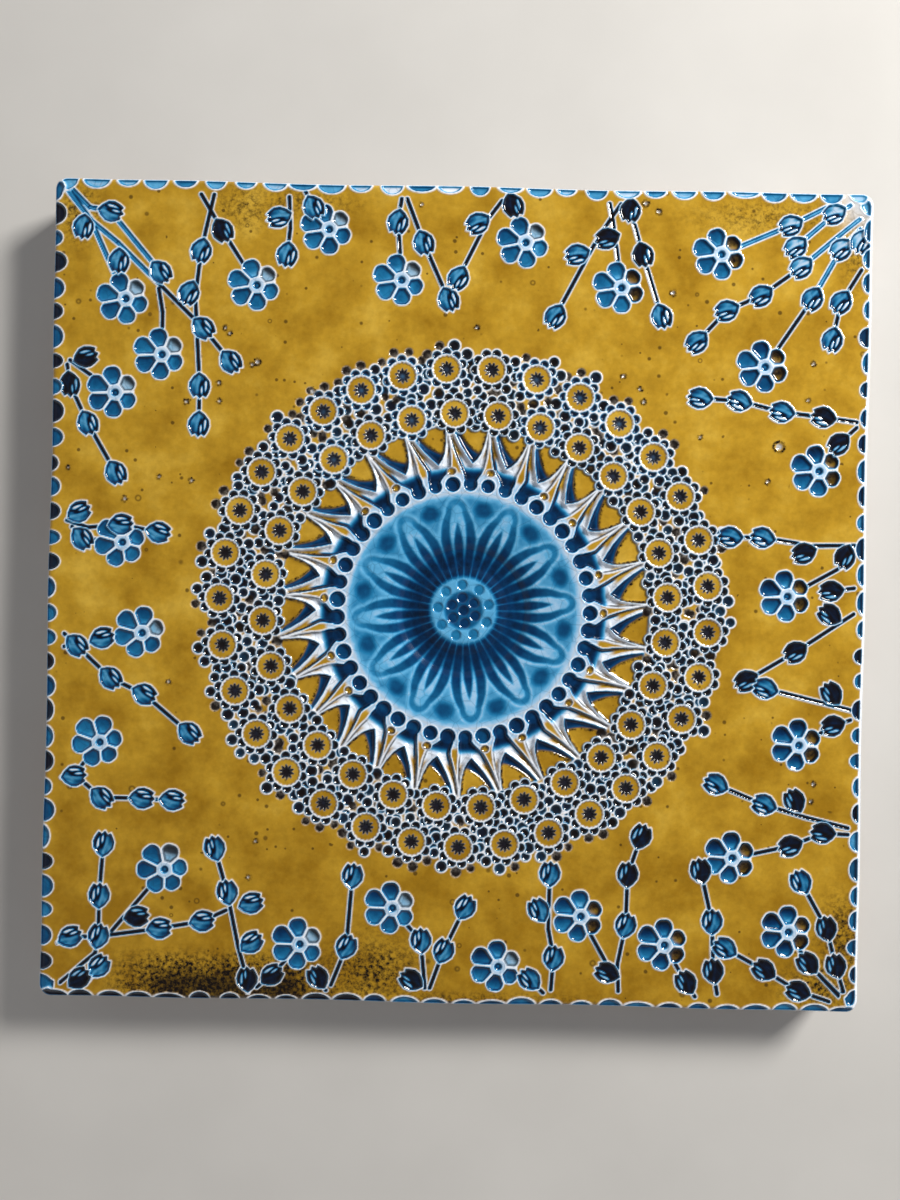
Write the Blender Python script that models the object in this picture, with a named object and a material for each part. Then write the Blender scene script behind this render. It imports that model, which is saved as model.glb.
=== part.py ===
"""A square wall tile of glazed earthenware, lying face up on its flat back.

The face is stamped while the clay is soft. A shallow bowl in the middle holds a
rosette of twelve petals around a small boss. Around it run a ring of round beads,
a ring of V-shaped leaves and two rings of lobed flowers. Sprays of buds and
six-petalled flowers grow in from the edges, and a row of scallops softens the rim.
Everything is one fired piece, so the tile is one solid. Sizes are in metres.
"""

import math

import bmesh
import bpy
from mathutils import Vector
from mathutils.geometry import delaunay_2d_cdt

# The slab
TILE_SIDE = 0.150
TILE_THICKNESS = 0.0100
CORNER_RADIUS = 0.0022
EDGE_WAVE_DEPTH = 0.00025  # the hand-cut sides bow in and out by this much
EDGE_DROP = 0.0012  # fall of the rounded shoulder from the face to the side
BACK_BEVEL = 0.0006

# The scalloped rim
RIM_LAND = 0.0009  # from the side to the rim line, between two scallops
SCALLOP_REACH = 0.0023  # from the side to the rim line, in the middle of a scallop
SCALLOPS_TOP = 28
SCALLOPS_RIGHT = 31
SCALLOPS_BOTTOM = 28
SCALLOPS_LEFT = 33

# The bowl in the middle of the medallion
MEDALLION_X = 0.0013
MEDALLION_Y = -0.0029
BOWL_RADIUS = 0.0213
SLOPE_FOOT_RADIUS = 0.0114
SLOPE_FOOT_DEPTH = 0.0011
BASIN_RADIUS = 0.0089
BASIN_DEPTH = 0.0021
BOSS_RADIUS = 0.0060
BOSS_DEPTH = 0.0009
BOSS_RECESS_RADIUS = 0.0035
BOSS_RECESS_SLOPE = 0.0004  # width of the step down into the recess
BOSS_RECESS_DEPTH = 0.0013

# The twelve petals in the bowl
PETALS = 12
PETAL_FIRST_ANGLE = 5.2
PETAL_TIP_RADIUS = 0.0202
PETAL_TIP_ANGLE = 0.6
PETAL_SHOULDER_RADIUS = 0.0158
PETAL_SHOULDER_ANGLE = 7.6
PETAL_FOOT_ANGLE = 10.2
PETAL_ROOT_RADIUS = 0.0071
PETAL_GROOVE_WIDTH = 0.0013
PETAL_GROOVE_TAPER = (0.5, 1.0, 0.85, 0.5)  # shares of the width at tip, shoulder, foot, root
PETAL_GROOVE_DEPTH = 0.0005
SPINE_TIP_RADIUS = 0.0166
SPINE_HALF_ANGLE = 3.3
WEDGE_INNER_RADIUS = 0.0170
WEDGE_OUTER_RADIUS = 0.0204
WEDGE_HALF_ANGLE = 4.6
WEDGE_DEPTH = 0.0004

# Small round pits on the boss, as rings of count, ring radius, pit radius and first angle
BOSS_PIT_RINGS = (
    (9, 0.00475, 0.00090, 14.0),
    (6, 0.00236, 0.00083, 36.0),
    (1, 0.0, 0.00083, 0.0),
)
BOSS_PIT_DEPTH = 0.0003

# The ring of beads and the V-shaped leaves
BEADS = 45
BEAD_RING_RADIUS = 0.0231
BEAD_RADIUS = 0.00133
BEAD_DEPTH = 0.0006
LEAVES = 27
LEAF_FIRST_ANGLE = 7.6
LEAF_FOOT_RADIUS = 0.0246
LEAF_NOTCH_RADIUS = 0.0266
LEAF_TIP_RADIUS = 0.0330
LEAF_TIP_ANGLE = 5.6
LEAF_DEPTH = 0.0006
LEAF_ARM_SHARE = 0.45  # the share of the way from notch to tip where an arm is deepest
LEAF_ARM_SPREAD = 0.6  # the share of the tip's angle at which that point lies
LEAF_ARM_DEPTH = 0.00036
CHEVRON_FOOT_RADIUS = 0.0277
CHEVRON_NOTCH_RADIUS = 0.0300
CHEVRON_TIP_RADIUS = 0.0326
CHEVRON_TIP_ANGLE = 3.9
CHEVRON_DEPTH = 0.0005

# The two rings of lobed flowers. The hand that stamped them strayed along the ring and
# across it in slow waves. Each wave is how often it goes around the ring, how far it
# strays, and where it peaks, in degrees from the first flower.
INNER_RING_FLOWERS = 28
INNER_RING_RADIUS = 0.0365
INNER_RING_FIRST = 4.7
INNER_RING_STRAY_ALONG = ((1, 1.3, -70.0), (2, 0.4, 136.0))
INNER_RING_STRAY_ACROSS = ((1, 0.0003, 0.0), (2, 0.0005, -17.0))
OUTER_RING_FLOWERS = 33
OUTER_RING_RADIUS = 0.0442
OUTER_RING_FIRST = 6.7
OUTER_RING_STRAY_ALONG = ((1, 1.6, -8.0), (2, 1.4, 176.0))
OUTER_RING_STRAY_ACROSS = ((1, 0.0005, 76.0), (2, 0.0005, -24.0))
LOBES = 8
LOBE_OUTER_RADIUS = 0.0037
LOBE_NOTCH_RADIUS = 0.0031
LOBE_DEPTH = 0.0004
EYE_RIM_RADIUS = 0.0018
EYE_RIM_RISE = 0.00015
EYE_DEPTH = 0.0007
FLOWER_BAND_MARGIN = 0.0046  # from the outer ring's radius to where the plain face starts
FLOWER_BAND_WAVES = 22
FLOWER_BAND_WAVE_DEPTH = 0.0007

# Six-petalled flowers of the sprays
SPRAY_PETAL_ANGLES = (0.0, 64.0, 120.0, 170.0, 228.0, 292.0)
SPRAY_PETAL_INNER = 0.0010
SPRAY_PETAL_OUTER = 0.0044
SPRAY_PETAL_SHOULDER = 0.0031
SPRAY_PETAL_HALF_WIDTH = 0.0015
SPRAY_PETAL_DEPTH = 0.0006
SPRAY_EYE_DEPTH = 0.0003

# Buds and stems of the sprays. The bud's outline is in shares of its half length and half
# width, from its foot around its broad end.
BUD_LENGTH = 0.0050
BUD_WIDTH = 0.0040
BUD_OUTLINE = ((-1.0, 0.0), (-0.3, -1.0), (0.65, -0.7), (0.65, 0.7), (-0.3, 1.0))
BUD_DEPTH = 0.0006
STEM_WIDTH = 0.0008
STEM_DEPTH = 0.0004
STEM_CLEAR_OF_BUD = 0.0026
STEM_CLEAR_OF_FLOWER = 0.0042
SHORTEST_STEM = 0.0012

# The layout of the sprays is drawn in its own units. The tile's side measures the span,
# and the tile's middle lies at the given place of the drawing. Each stem runs from its
# root through its stations. A station is a bend, a bud that lies on the stem, or the
# flower that ends it, which brings the angle it was stamped at.
LAYOUT_SPAN = 152.2
LAYOUT_MIDDLE = (-0.5, -0.1)
STEMS = (
    ((-74, 74), ("bend", -70, 70.2), ("bud", -66, 69.5), ("bud", -56.6, 58.5)),
    ((-74, 73.4), ("bend", -69.3, 67.5), ("bend", -64.5, 63.7), ("bend", -57, 56.5),
     ("bud", -48.5, 48.3), ("bud", -43.3, 42.2)),
    ((-69, 66.5), ("flower", -62.9, 53.4, 47)),
    ((-56.8, 55.4), ("bend", -56, 51), ("flower", -56.0, 43.2, 38)),
    ((-46.9, 73), ("bud", -49.1, 62.6), ("bend", -50, 54), ("bud", -48.9, 37.6),
     ("bud", -48.9, 30.5)),
    ((-49.3, 73), ("bud", -45.3, 66.4), ("flower", -38.7, 56.4, 45)),
    ((-33, 73), ("bend", -32.7, 67), ("bud", -33.2, 62.2)),
    ((-30.5, 75), ("bud", -28.5, 71.2), ("flower", -25.5, 67.0, 44)),
    ((-12.2, 73), ("bud", -12.8, 68.7), ("flower", -11.9, 57.9, 44)),
    ((-11.2, 73), ("bud", -8, 64.9), ("bud", -3.2, 54.5)),
    ((6.4, 73), ("bend", 4, 69.7), ("bud", -1.4, 58.5)),
    ((7.2, 75), ("bud", 8.4, 72.2), ("flower", 10.9, 65.3, 47)),
    ((28.4, 73), ("bend", 24, 66), ("bud", 16.7, 51.8)),
    ((26.3, 73), ("bend", 27, 69.3), ("flower", 28.8, 57.3, 44)),
    ((30.3, 75), ("bud", 30.1, 71.8), ("bud", 32.6, 63.5), ("bud", 36.3, 52.2)),
    ((66.5, 73), ("bud", 59.9, 69.5), ("flower", 47.2, 63.9, 44)),
    ((71, 73.4), ("bud", 68, 71.8), ("bud", 60.9, 65.5)),
    ((72.6, 71), ("bud", 62, 61.8), ("bud", 54.7, 56.4), ("bud", 48.4, 53.5),
     ("bud", 43, 47.6)),
    ((72.8, 69), ("bud", 69.3, 65.3), ("bud", 64.2, 56), ("flower", 55.7, 43.2, 42)),
    ((73.2, 61.5), ("bud", 69.5, 55.5), ("bud", 68, 48.5)),
    ((73, 33.3), ("bud", 66.7, 34.1), ("bud", 59, 34.9), ("bud", 51.1, 36.8),
     ("bud", 43.8, 37.2)),
    ((73, 32.3), ("bud", 69.7, 29.3), ("flower", 66.1, 24.1, 40)),
    ((73, 10.5), ("bend", 65, 10.3), ("bud", 55.9, 11.6), ("bud", 49.9, 11.6)),
    ((72.6, 7.6), ("flower", 60.7, 0.8, 38)),
    ((73, 2.6), ("bud", 68.8, 2)),
    ((73, -2.2), ("bend", 69, -4.9), ("bud", 62.4, -9.4), ("bud", 53.4, -14.9)),
    ((73, -20), ("bend", 66.5, -18.5), ("bud", 57, -16.3)),
    ((73, -21.8), ("bud", 69.7, -22.9), ("flower", 63.4, -26.7, 31)),
    ((72.8, -41.8), ("bend", 65, -40), ("bud", 57.2, -37.8), ("bud", 48.2, -34.2)),
    ((72.8, -43), ("bud", 68.2, -42.8), ("bud", 62.2, -45.3), ("flower", 51.5, -47.8, 31)),
    ((72, -73), ("bud", 65.9, -67), ("flower", 62.2, -61.3, 30)),
    ((72.6, -72.4), ("bud", 71.1, -67.4), ("bud", 69.2, -60.5), ("bud", 64.3, -52)),
    ((70, -74), ("bud", 64.2, -72.2), ("bud", 57.8, -68.4), ("bud", 50.5, -64.5)),
    ((49.2, -73), ("bud", 48.4, -68.8), ("bud", 48, -59.7), ("bud", 45.7, -50.3)),
    ((45.1, -73.6), ("bud", 43.4, -71), ("flower", 39.3, -64.2, 30)),
    ((30.9, -73), ("bend", 30.6, -68), ("bud", 32, -60.7), ("bud", 32.2, -51.3),
     ("bud", 34.5, -44.2)),
    ((30.2, -70.5), ("flower", 23.7, -59.2, 31)),
    ((18.4, -73), ("bud", 18.8, -67), ("bend", 17.7, -61.5), ("bud", 17.8, -51.5)),
    ((17, -73.6), ("bud", 14.5, -71.1), ("flower", 8.6, -68.8, 31)),
    ((-4.9, -73), ("bud", -5.8, -64.3), ("flower", -11.2, -58.4, 33)),
    ((-4.0, -73), ("bud", -1.6, -66.1), ("bud", 2.2, -58)),
    ((-23.2, -74), ("bud", -24.7, -71.6)),
    ((-22.3, -73), ("bud", -19.6, -65.7), ("bud", -18.7, -52.6)),
    ((-36, -73.6), ("bud", -33.3, -71.3), ("flower", -28.2, -65.4, 34)),
    ((-37.6, -74.6), ("bud", -37.8, -72.2), ("bend", -39.6, -66), ("bud", -41.8, -56.1),
     ("bud", -44.3, -48)),
    ((-72.6, -73.4), ("bend", -66, -67.8), ("bud", -65.5, -64.7), ("bud", -65.5, -57.2),
     ("bud", -64.9, -47.6)),
    ((-67.2, -73), ("bud", -65.3, -70.3)),
    ((-73, -66), ("bud", -70.8, -64.9), ("bud", -65.5, -64.7), ("bud", -54.3, -63),
     ("bud", -46.4, -61.5), ("bend", -42, -59.4)),
    ((-63, -63.6), ("flower", -53.5, -52.1, 10)),
    ((-73, -35.4), ("bud", -70.7, -35.1), ("flower", -66, -28.8, 16)),
    ((-68.5, -36.5), ("bud", -65.5, -39), ("bud", -58, -39), ("bud", -52.4, -39.2)),
    ((-73, -11.2), ("bend", -69, -10.6), ("bud", -66, -9.5), ("flower", -58.6, -8.4, 21)),
    ((-73, -8.8), ("bud", -70.7, -10.9), ("bud", -64.3, -16.8), ("bud", -58, -19.7),
     ("bud", -49.5, -26.7)),
    ((-73, 12.2), ("bend", -69, 10.9), ("bud", -63, 11.6), ("bud", -56, 10.3)),
    ((-72, 11), ("bud", -70.1, 8.9), ("flower", -62.6, 8.3, 20)),
    ((-73, 41.8), ("flower", -64.5, 36, 37)),
    ((-73.5, 41), ("bud", -73, 37.4), ("bud", -69.5, 30.3), ("bud", -64.1, 21.2)),
)
# Buds that hang beside a stem, with the way each one points in degrees
SIDE_BUDS = (
    (-71, 66.6, 265), (-64.3, 60.4, 270), (-51.2, 54.7, 250), (-34.8, 69.1, 200),
    (2, 68.7, 215), (20.5, 63.3, 200), (26, 66.4, 200), (63.6, 8.9, 200),
    (71.2, 8.4, 250), (68.6, -2.4, 150), (69.3, -17, 130), (62.8, -37, 120),
    (28.8, -69.5, 160), (15.9, -58.2, 120), (-7.4, -71.6, 150), (-37.2, -65.3, 40),
    (-37.4, -58, 20), (-69, -72.6, 40), (-58.5, -60.9, 10), (-70.8, 13.7, 30),
    (-70.1, 42.4, 20), (73, 66.8, 250),
)

# The look of the glaze where it lies flat on the face
GLAZE_COLOUR = (0.552, 0.296, 0.030, 1.0)
GLAZE_ROUGHNESS = 0.18
GLAZE_METALLIC = 0.0

# How the outlines are drawn
POINTS_A_SIDE = 7
POINTS_A_WAVE = 3
POINTS_A_CORNER = 2
BEAD_SIDES = 6
EYE_SIDES = 5
BOSS_PIT_SIDES = 5
MOST_OF_A_STRETCH = 0.9  # a stem's first stretch is never shortened by more than this share
SMOOTH_BELOW = 35.0  # degrees; faces that meet at less than this are shaded as one surface
NEARNESS = 0.00002  # points of the face closer than this are one point
INSIDE_THE_OUTLINE = 1  # the triangulation's own number for this kind of result


class Face:
    """Collects the points of the tile's face, their heights and the edges that must show."""

    def __init__(self):
        self.margin = 0.0
        self.points = []
        self.heights = []
        self.edges = []

    def add(self, x, y, height):
        """One point; anything that would pass the rim is held back inside it."""
        limit = TILE_SIDE / 2 - self.margin
        self.points.append(Vector((min(max(x, -limit), limit), min(max(y, -limit), limit))))
        self.heights.append(height)
        return len(self.points) - 1

    def add_outline(self, outline, height):
        """Points of the tile's own outline, which may lie past the rim."""
        first = len(self.points)
        for x, y in outline:
            self.points.append(Vector((x, y)))
            self.heights.append(height)
        self.join(list(range(first, len(self.points))))

    def join(self, ids):
        self.edges.extend((ids[i - 1], ids[i]) for i in range(len(ids)))

    def loop(self, outline, height):
        self.join([self.add(x, y, height) for x, y in outline])

    def pit(self, outline, depth):
        """A closed outline at face level around one deepest point."""
        self.loop(outline, 0.0)
        count = len(outline)
        middle_x = sum(x for x, _ in outline) / count
        middle_y = sum(y for _, y in outline) / count
        self.add(middle_x, middle_y, -depth)


def polar(radius, degrees, centre=(0.0, 0.0)):
    turn = math.radians(degrees)
    return (centre[0] + radius * math.cos(turn), centre[1] + radius * math.sin(turn))


def ring(count, radius, centre, first=0.0):
    return [polar(radius, first + 360.0 * i / count, centre) for i in range(count)]


def placed(outline, centre, degrees):
    """Turns an outline drawn along +X and moves it to its centre."""
    cos, sin = math.cos(math.radians(degrees)), math.sin(math.radians(degrees))
    return [(centre[0] + x * cos - y * sin, centre[1] + x * sin + y * cos) for x, y in outline]


def tile_outline():
    """Counter-clockwise outline: four softly waving sides between rounded corners."""
    half = TILE_SIDE / 2
    straight = half - CORNER_RADIUS
    last = POINTS_A_SIDE - 1
    outline = []
    for side in range(4):
        for i in range(POINTS_A_SIDE):
            along = -straight + 2 * straight * i / last
            wave = (1.0 - math.cos(math.tau * (i + side) / POINTS_A_WAVE)) / 2
            inward = EDGE_WAVE_DEPTH * wave if 0 < i < last else 0.0
            outline += placed([(half - inward, along)], (0.0, 0.0), 90.0 * side)
        corner = placed([(straight, straight)], (0.0, 0.0), 90.0 * side)[0]
        outline += [
            polar(CORNER_RADIUS, 90.0 * side + 90.0 * i / (POINTS_A_CORNER + 1), corner)
            for i in range(1, POINTS_A_CORNER + 1)
        ]
    return outline


def rim_line():
    """The wavy line where the face meets the shoulder: one bay for each scallop."""
    half = TILE_SIDE / 2
    reach = half - CORNER_RADIUS
    line = []
    counts = (SCALLOPS_RIGHT, SCALLOPS_TOP, SCALLOPS_LEFT, SCALLOPS_BOTTOM)
    for side, count in enumerate(counts):
        for i in range(count):
            for share, inset in ((0.0, RIM_LAND), (0.5, SCALLOP_REACH)):
                along = -reach + 2 * reach * (i + share) / count
                if abs(along) > half - SCALLOP_REACH:
                    continue
                line += placed([(half - inset, along)], (0.0, 0.0), 90.0 * side)
    return line


def add_bowl(face, centre):
    """The rosette: petal grooves, spines and wedges on the slope, and pits on the boss."""
    pitch = 360.0 / PETALS
    for k in range(PETALS):
        middle = PETAL_FIRST_ANGLE + pitch * k
        for hand in (-1, 1):
            path = (
                (PETAL_TIP_RADIUS, PETAL_TIP_ANGLE),
                (PETAL_SHOULDER_RADIUS, PETAL_SHOULDER_ANGLE),
                (SLOPE_FOOT_RADIUS, PETAL_FOOT_ANGLE),
                (PETAL_ROOT_RADIUS, PETAL_FOOT_ANGLE),
            )
            line = [polar(r, middle + hand * turn, centre) for r, turn in path]
            widths = [PETAL_GROOVE_WIDTH * share for share in PETAL_GROOVE_TAPER]
            add_groove(face, line, widths, PETAL_GROOVE_DEPTH)
        spine = (
            (SPINE_TIP_RADIUS, 0.0),
            (SLOPE_FOOT_RADIUS, SPINE_HALF_ANGLE),
            (PETAL_ROOT_RADIUS, 0.0),
            (SLOPE_FOOT_RADIUS, -SPINE_HALF_ANGLE),
        )
        face.pit([polar(r, middle + turn, centre) for r, turn in spine], PETAL_GROOVE_DEPTH)
        between = middle + pitch / 2
        wedge = (
            (WEDGE_INNER_RADIUS, 0.0),
            (WEDGE_OUTER_RADIUS, WEDGE_HALF_ANGLE),
            (WEDGE_OUTER_RADIUS, -WEDGE_HALF_ANGLE),
        )
        face.pit([polar(r, between + turn, centre) for r, turn in wedge], WEDGE_DEPTH)
        for radius in (SLOPE_FOOT_RADIUS, BASIN_RADIUS):
            face.add(*polar(radius, between, centre), 0.0)
    face.loop(ring(2 * PETALS, BOSS_RADIUS, centre), 0.0)
    face.loop(ring(PETALS, BOSS_RECESS_RADIUS, centre), 0.0)
    for count, radius, size, first in BOSS_PIT_RINGS:
        for spot in ring(count, radius, centre, first):
            face.pit(ring(BOSS_PIT_SIDES, size, spot), BOSS_PIT_DEPTH)


def bowl_height(x, y):
    """How far the bowl falls below the face at a point, before any groove or pit."""
    radius = math.hypot(x - MEDALLION_X, y - MEDALLION_Y)
    profile = sorted(
        (
            (0.0, -BOSS_RECESS_DEPTH),
            (BOSS_RECESS_RADIUS, -BOSS_RECESS_DEPTH),
            (BOSS_RECESS_RADIUS + BOSS_RECESS_SLOPE, -BOSS_DEPTH),
            (BOSS_RADIUS, -BOSS_DEPTH),
            (PETAL_ROOT_RADIUS, -BASIN_DEPTH),
            (BASIN_RADIUS, -BASIN_DEPTH),
            (SLOPE_FOOT_RADIUS, -SLOPE_FOOT_DEPTH),
            (BOWL_RADIUS, 0.0),
        )
    )
    for (r0, h0), (r1, h1) in zip(profile, profile[1:]):
        if radius <= r1:
            share = (radius - r0) / max(r1 - r0, NEARNESS)
            return h0 + (h1 - h0) * share
    return 0.0


def add_groove(face, line, widths, depth):
    """A groove along a line of points: two rims, and a floor between its inner points."""
    left, right = [], []
    last = len(line) - 1
    for i, (x, y) in enumerate(line):
        before, after = line[max(i - 1, 0)], line[min(i + 1, last)]
        run = math.hypot(after[0] - before[0], after[1] - before[1])
        across_x = (before[1] - after[1]) / run * widths[i] / 2
        across_y = (after[0] - before[0]) / run * widths[i] / 2
        left.append((x + across_x, y + across_y))
        right.append((x - across_x, y - across_y))
    face.loop(left + right[::-1], 0.0)
    inner = line[1:-1] if last > 2 else pulled_in(pulled_in(line, widths[0])[::-1], widths[-1])
    for spot in inner:
        face.add(*spot, -depth)


def add_beads_and_leaves(face, centre):
    for spot in ring(BEADS, BEAD_RING_RADIUS, centre):
        face.pit(ring(BEAD_SIDES, BEAD_RADIUS, spot), BEAD_DEPTH)
    leaf = (LEAF_FOOT_RADIUS, LEAF_TIP_RADIUS, LEAF_TIP_ANGLE, LEAF_NOTCH_RADIUS, LEAF_DEPTH)
    chevron = (
        CHEVRON_FOOT_RADIUS, CHEVRON_TIP_RADIUS, CHEVRON_TIP_ANGLE, CHEVRON_NOTCH_RADIUS,
        CHEVRON_DEPTH,
    )
    for k in range(LEAVES):
        middle = LEAF_FIRST_ANGLE + 360.0 * k / LEAVES
        for foot, tip, spread, notch, depth in (leaf, chevron):
            corners = ((foot, 0.0), (tip, spread), (notch, 0.0), (tip, -spread))
            face.loop([polar(r, middle + turn, centre) for r, turn in corners], 0.0)
            face.add(*polar((foot + notch) / 2, middle, centre), -depth)
        arm_radius = LEAF_NOTCH_RADIUS + (LEAF_TIP_RADIUS - LEAF_NOTCH_RADIUS) * LEAF_ARM_SHARE
        for hand in (-1, 1):
            spot = polar(arm_radius, middle + hand * LEAF_TIP_ANGLE * LEAF_ARM_SPREAD, centre)
            face.add(*spot, -LEAF_ARM_DEPTH)


def add_ring_flowers(face, centre):
    """Two rings of stamped flowers, sunk between their lobes, with a raised round eye rim."""
    band = []
    for i in range(2 * FLOWER_BAND_WAVES):
        reach = FLOWER_BAND_MARGIN - (0.0 if i % 2 else FLOWER_BAND_WAVE_DEPTH)
        turn = OUTER_RING_FIRST + 180.0 * i / FLOWER_BAND_WAVES
        band.append(polar(OUTER_RING_RADIUS + reach, turn, centre))
    face.loop(band, 0.0)
    rings = (
        (
            INNER_RING_FLOWERS, INNER_RING_RADIUS, INNER_RING_FIRST,
            INNER_RING_STRAY_ALONG, INNER_RING_STRAY_ACROSS,
        ),
        (
            OUTER_RING_FLOWERS, OUTER_RING_RADIUS, OUTER_RING_FIRST,
            OUTER_RING_STRAY_ALONG, OUTER_RING_STRAY_ACROSS,
        ),
    )
    for count, radius, first, along, across in rings:
        for k in range(count):
            way = 360.0 * k / count
            turn = first + way + stray(along, way)
            spot = polar(radius + stray(across, way), turn, centre)
            lobes = [
                polar(
                    LOBE_OUTER_RADIUS if i % 2 == 0 else LOBE_NOTCH_RADIUS,
                    turn + 180.0 * i / LOBES,
                    spot,
                )
                for i in range(2 * LOBES)
            ]
            face.loop(lobes, -LOBE_DEPTH)
            face.loop(ring(EYE_SIDES, EYE_RIM_RADIUS, spot, turn), EYE_RIM_RISE)
            face.add(*spot, -EYE_DEPTH)


def stray(waves, way):
    """How far the stamping hand has strayed, this many degrees on from the first flower."""
    return sum(
        size * math.cos(math.radians(often * way - peak)) for often, size, peak in waves
    )


def add_spray_flower(face, spot, stamped_at):
    petal = [
        (SPRAY_PETAL_INNER, 0.0),
        (SPRAY_PETAL_SHOULDER, -SPRAY_PETAL_HALF_WIDTH),
        (SPRAY_PETAL_OUTER, 0.0),
        (SPRAY_PETAL_SHOULDER, SPRAY_PETAL_HALF_WIDTH),
    ]
    for turn in SPRAY_PETAL_ANGLES:
        face.pit(placed(petal, spot, stamped_at + turn), SPRAY_PETAL_DEPTH)
    face.add(*spot, -SPRAY_EYE_DEPTH)


def add_bud(face, spot, pointing):
    bud = [(x * BUD_LENGTH / 2, y * BUD_WIDTH / 2) for x, y in BUD_OUTLINE]
    face.pit(placed(bud, spot, pointing), BUD_DEPTH)


def add_stem(face, line, start_gap, end_gap):
    """A groove that stops short of the stamps at its two ends."""
    if len(line) < 2:
        return
    run = math.dist(line[0], line[-1])
    if run - start_gap - end_gap > SHORTEST_STEM:
        line = pulled_in(pulled_in(line, start_gap)[::-1], end_gap)[::-1]
        add_groove(face, line, [STEM_WIDTH] * len(line), STEM_DEPTH)


def pulled_in(line, gap):
    """The line with this much taken off its first stretch."""
    run = math.dist(line[0], line[1])
    share = min(gap / run, MOST_OF_A_STRETCH) if run else 0.0
    start = tuple(a + (b - a) * share for a, b in zip(line[0], line[1]))
    return [start, *line[1:]]


def on_tile(x, y):
    """The place on the tile of a place in the drawing of the sprays."""
    unit = TILE_SIDE / LAYOUT_SPAN
    return ((x - LAYOUT_MIDDLE[0]) * unit, (y - LAYOUT_MIDDLE[1]) * unit)


def add_sprays(face):
    clear = {"bud": STEM_CLEAR_OF_BUD, "flower": STEM_CLEAR_OF_FLOWER}
    stamped = set()
    for root, *stations in STEMS:
        line, gap = [on_tile(*root)], 0.0
        for kind, x, y, *stamped_at in stations:
            here, there = line[-1], on_tile(x, y)
            line.append(there)
            if kind == "bend":
                continue
            if there not in stamped:
                stamped.add(there)
                if kind == "bud":
                    way = math.atan2(there[1] - here[1], there[0] - here[0])
                    add_bud(face, there, math.degrees(way))
                else:
                    add_spray_flower(face, there, stamped_at[0])
            add_stem(face, line, gap, clear[kind])
            line, gap = [there], clear[kind]
        add_stem(face, line, gap, 0.0)
    for x, y, pointing in SIDE_BUDS:
        add_bud(face, on_tile(x, y), pointing)


def build_tile():
    face = Face()
    outline = tile_outline()
    centre = (MEDALLION_X, MEDALLION_Y)
    face.add_outline(outline, -EDGE_DROP)
    face.loop(rim_line(), 0.0)
    face.margin = SCALLOP_REACH + NEARNESS
    add_bowl(face, centre)
    add_beads_and_leaves(face, centre)
    add_ring_flowers(face, centre)
    add_sprays(face)

    points, _, triangles, origins, _, _ = delaunay_2d_cdt(
        face.points, face.edges, [], INSIDE_THE_OUTLINE, NEARNESS
    )
    mesh = bmesh.new()
    top = []
    for point, sources in zip(points, origins):
        # where two stamps cross, a new point starts at face level
        rise = max((face.heights[s] for s in sources), key=abs, default=0.0)
        height = TILE_THICKNESS + rise + bowl_height(point.x, point.y)
        top.append(mesh.verts.new((point.x, point.y, height)))
    for corners in triangles:
        mesh.faces.new([top[c] for c in corners])

    # the side goes straight down from the outline, then a bevel leads to the flat back
    rim = [e for e in mesh.edges if e.is_boundary]
    walls = bmesh.ops.extrude_edge_only(mesh, edges=rim)["geom"]
    for vert in (v for v in walls if isinstance(v, bmesh.types.BMVert)):
        vert.co.z = BACK_BEVEL
    rim = [e for e in mesh.edges if e.is_boundary]
    bevel = bmesh.ops.extrude_edge_only(mesh, edges=rim)["geom"]
    shrink = (TILE_SIDE - 2 * BACK_BEVEL) / TILE_SIDE
    for vert in (v for v in bevel if isinstance(v, bmesh.types.BMVert)):
        vert.co.x *= shrink
        vert.co.y *= shrink
        vert.co.z = 0.0
    bmesh.ops.contextual_create(mesh, geom=[e for e in mesh.edges if e.is_boundary])
    bmesh.ops.triangulate(mesh, faces=[f for f in mesh.faces if len(f.verts) > 4])
    bmesh.ops.recalc_face_normals(mesh, faces=mesh.faces)

    data = bpy.data.meshes.new("tile")
    mesh.to_mesh(data)
    mesh.free()
    data.shade_smooth()
    data.set_sharp_from_angle(angle=math.radians(SMOOTH_BELOW))
    tile = bpy.data.objects.new("tile", data)
    bpy.context.scene.collection.objects.link(tile)
    return tile


def glaze_material():
    material = bpy.data.materials.new("glazed_earthenware")
    material.use_nodes = True
    shader = material.node_tree.nodes["Principled BSDF"]
    shader.inputs["Base Color"].default_value = GLAZE_COLOUR
    shader.inputs["Roughness"].default_value = GLAZE_ROUGHNESS
    shader.inputs["Metallic"].default_value = GLAZE_METALLIC
    material.diffuse_color = GLAZE_COLOUR
    return material


for old in list(bpy.data.objects):
    bpy.data.objects.remove(old, do_unlink=True)
tile = build_tile()
tile.data.materials.append(glaze_material())
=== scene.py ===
"""The looks of a square relief tile of stamped and majolica-glazed earthenware.

The whole face is drawn once, as a map of the clay and of the glaze that lies on it,
and is then turned into fine mesh. Lengths are in millimetres until a mesh is made.
"""

import math

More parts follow.
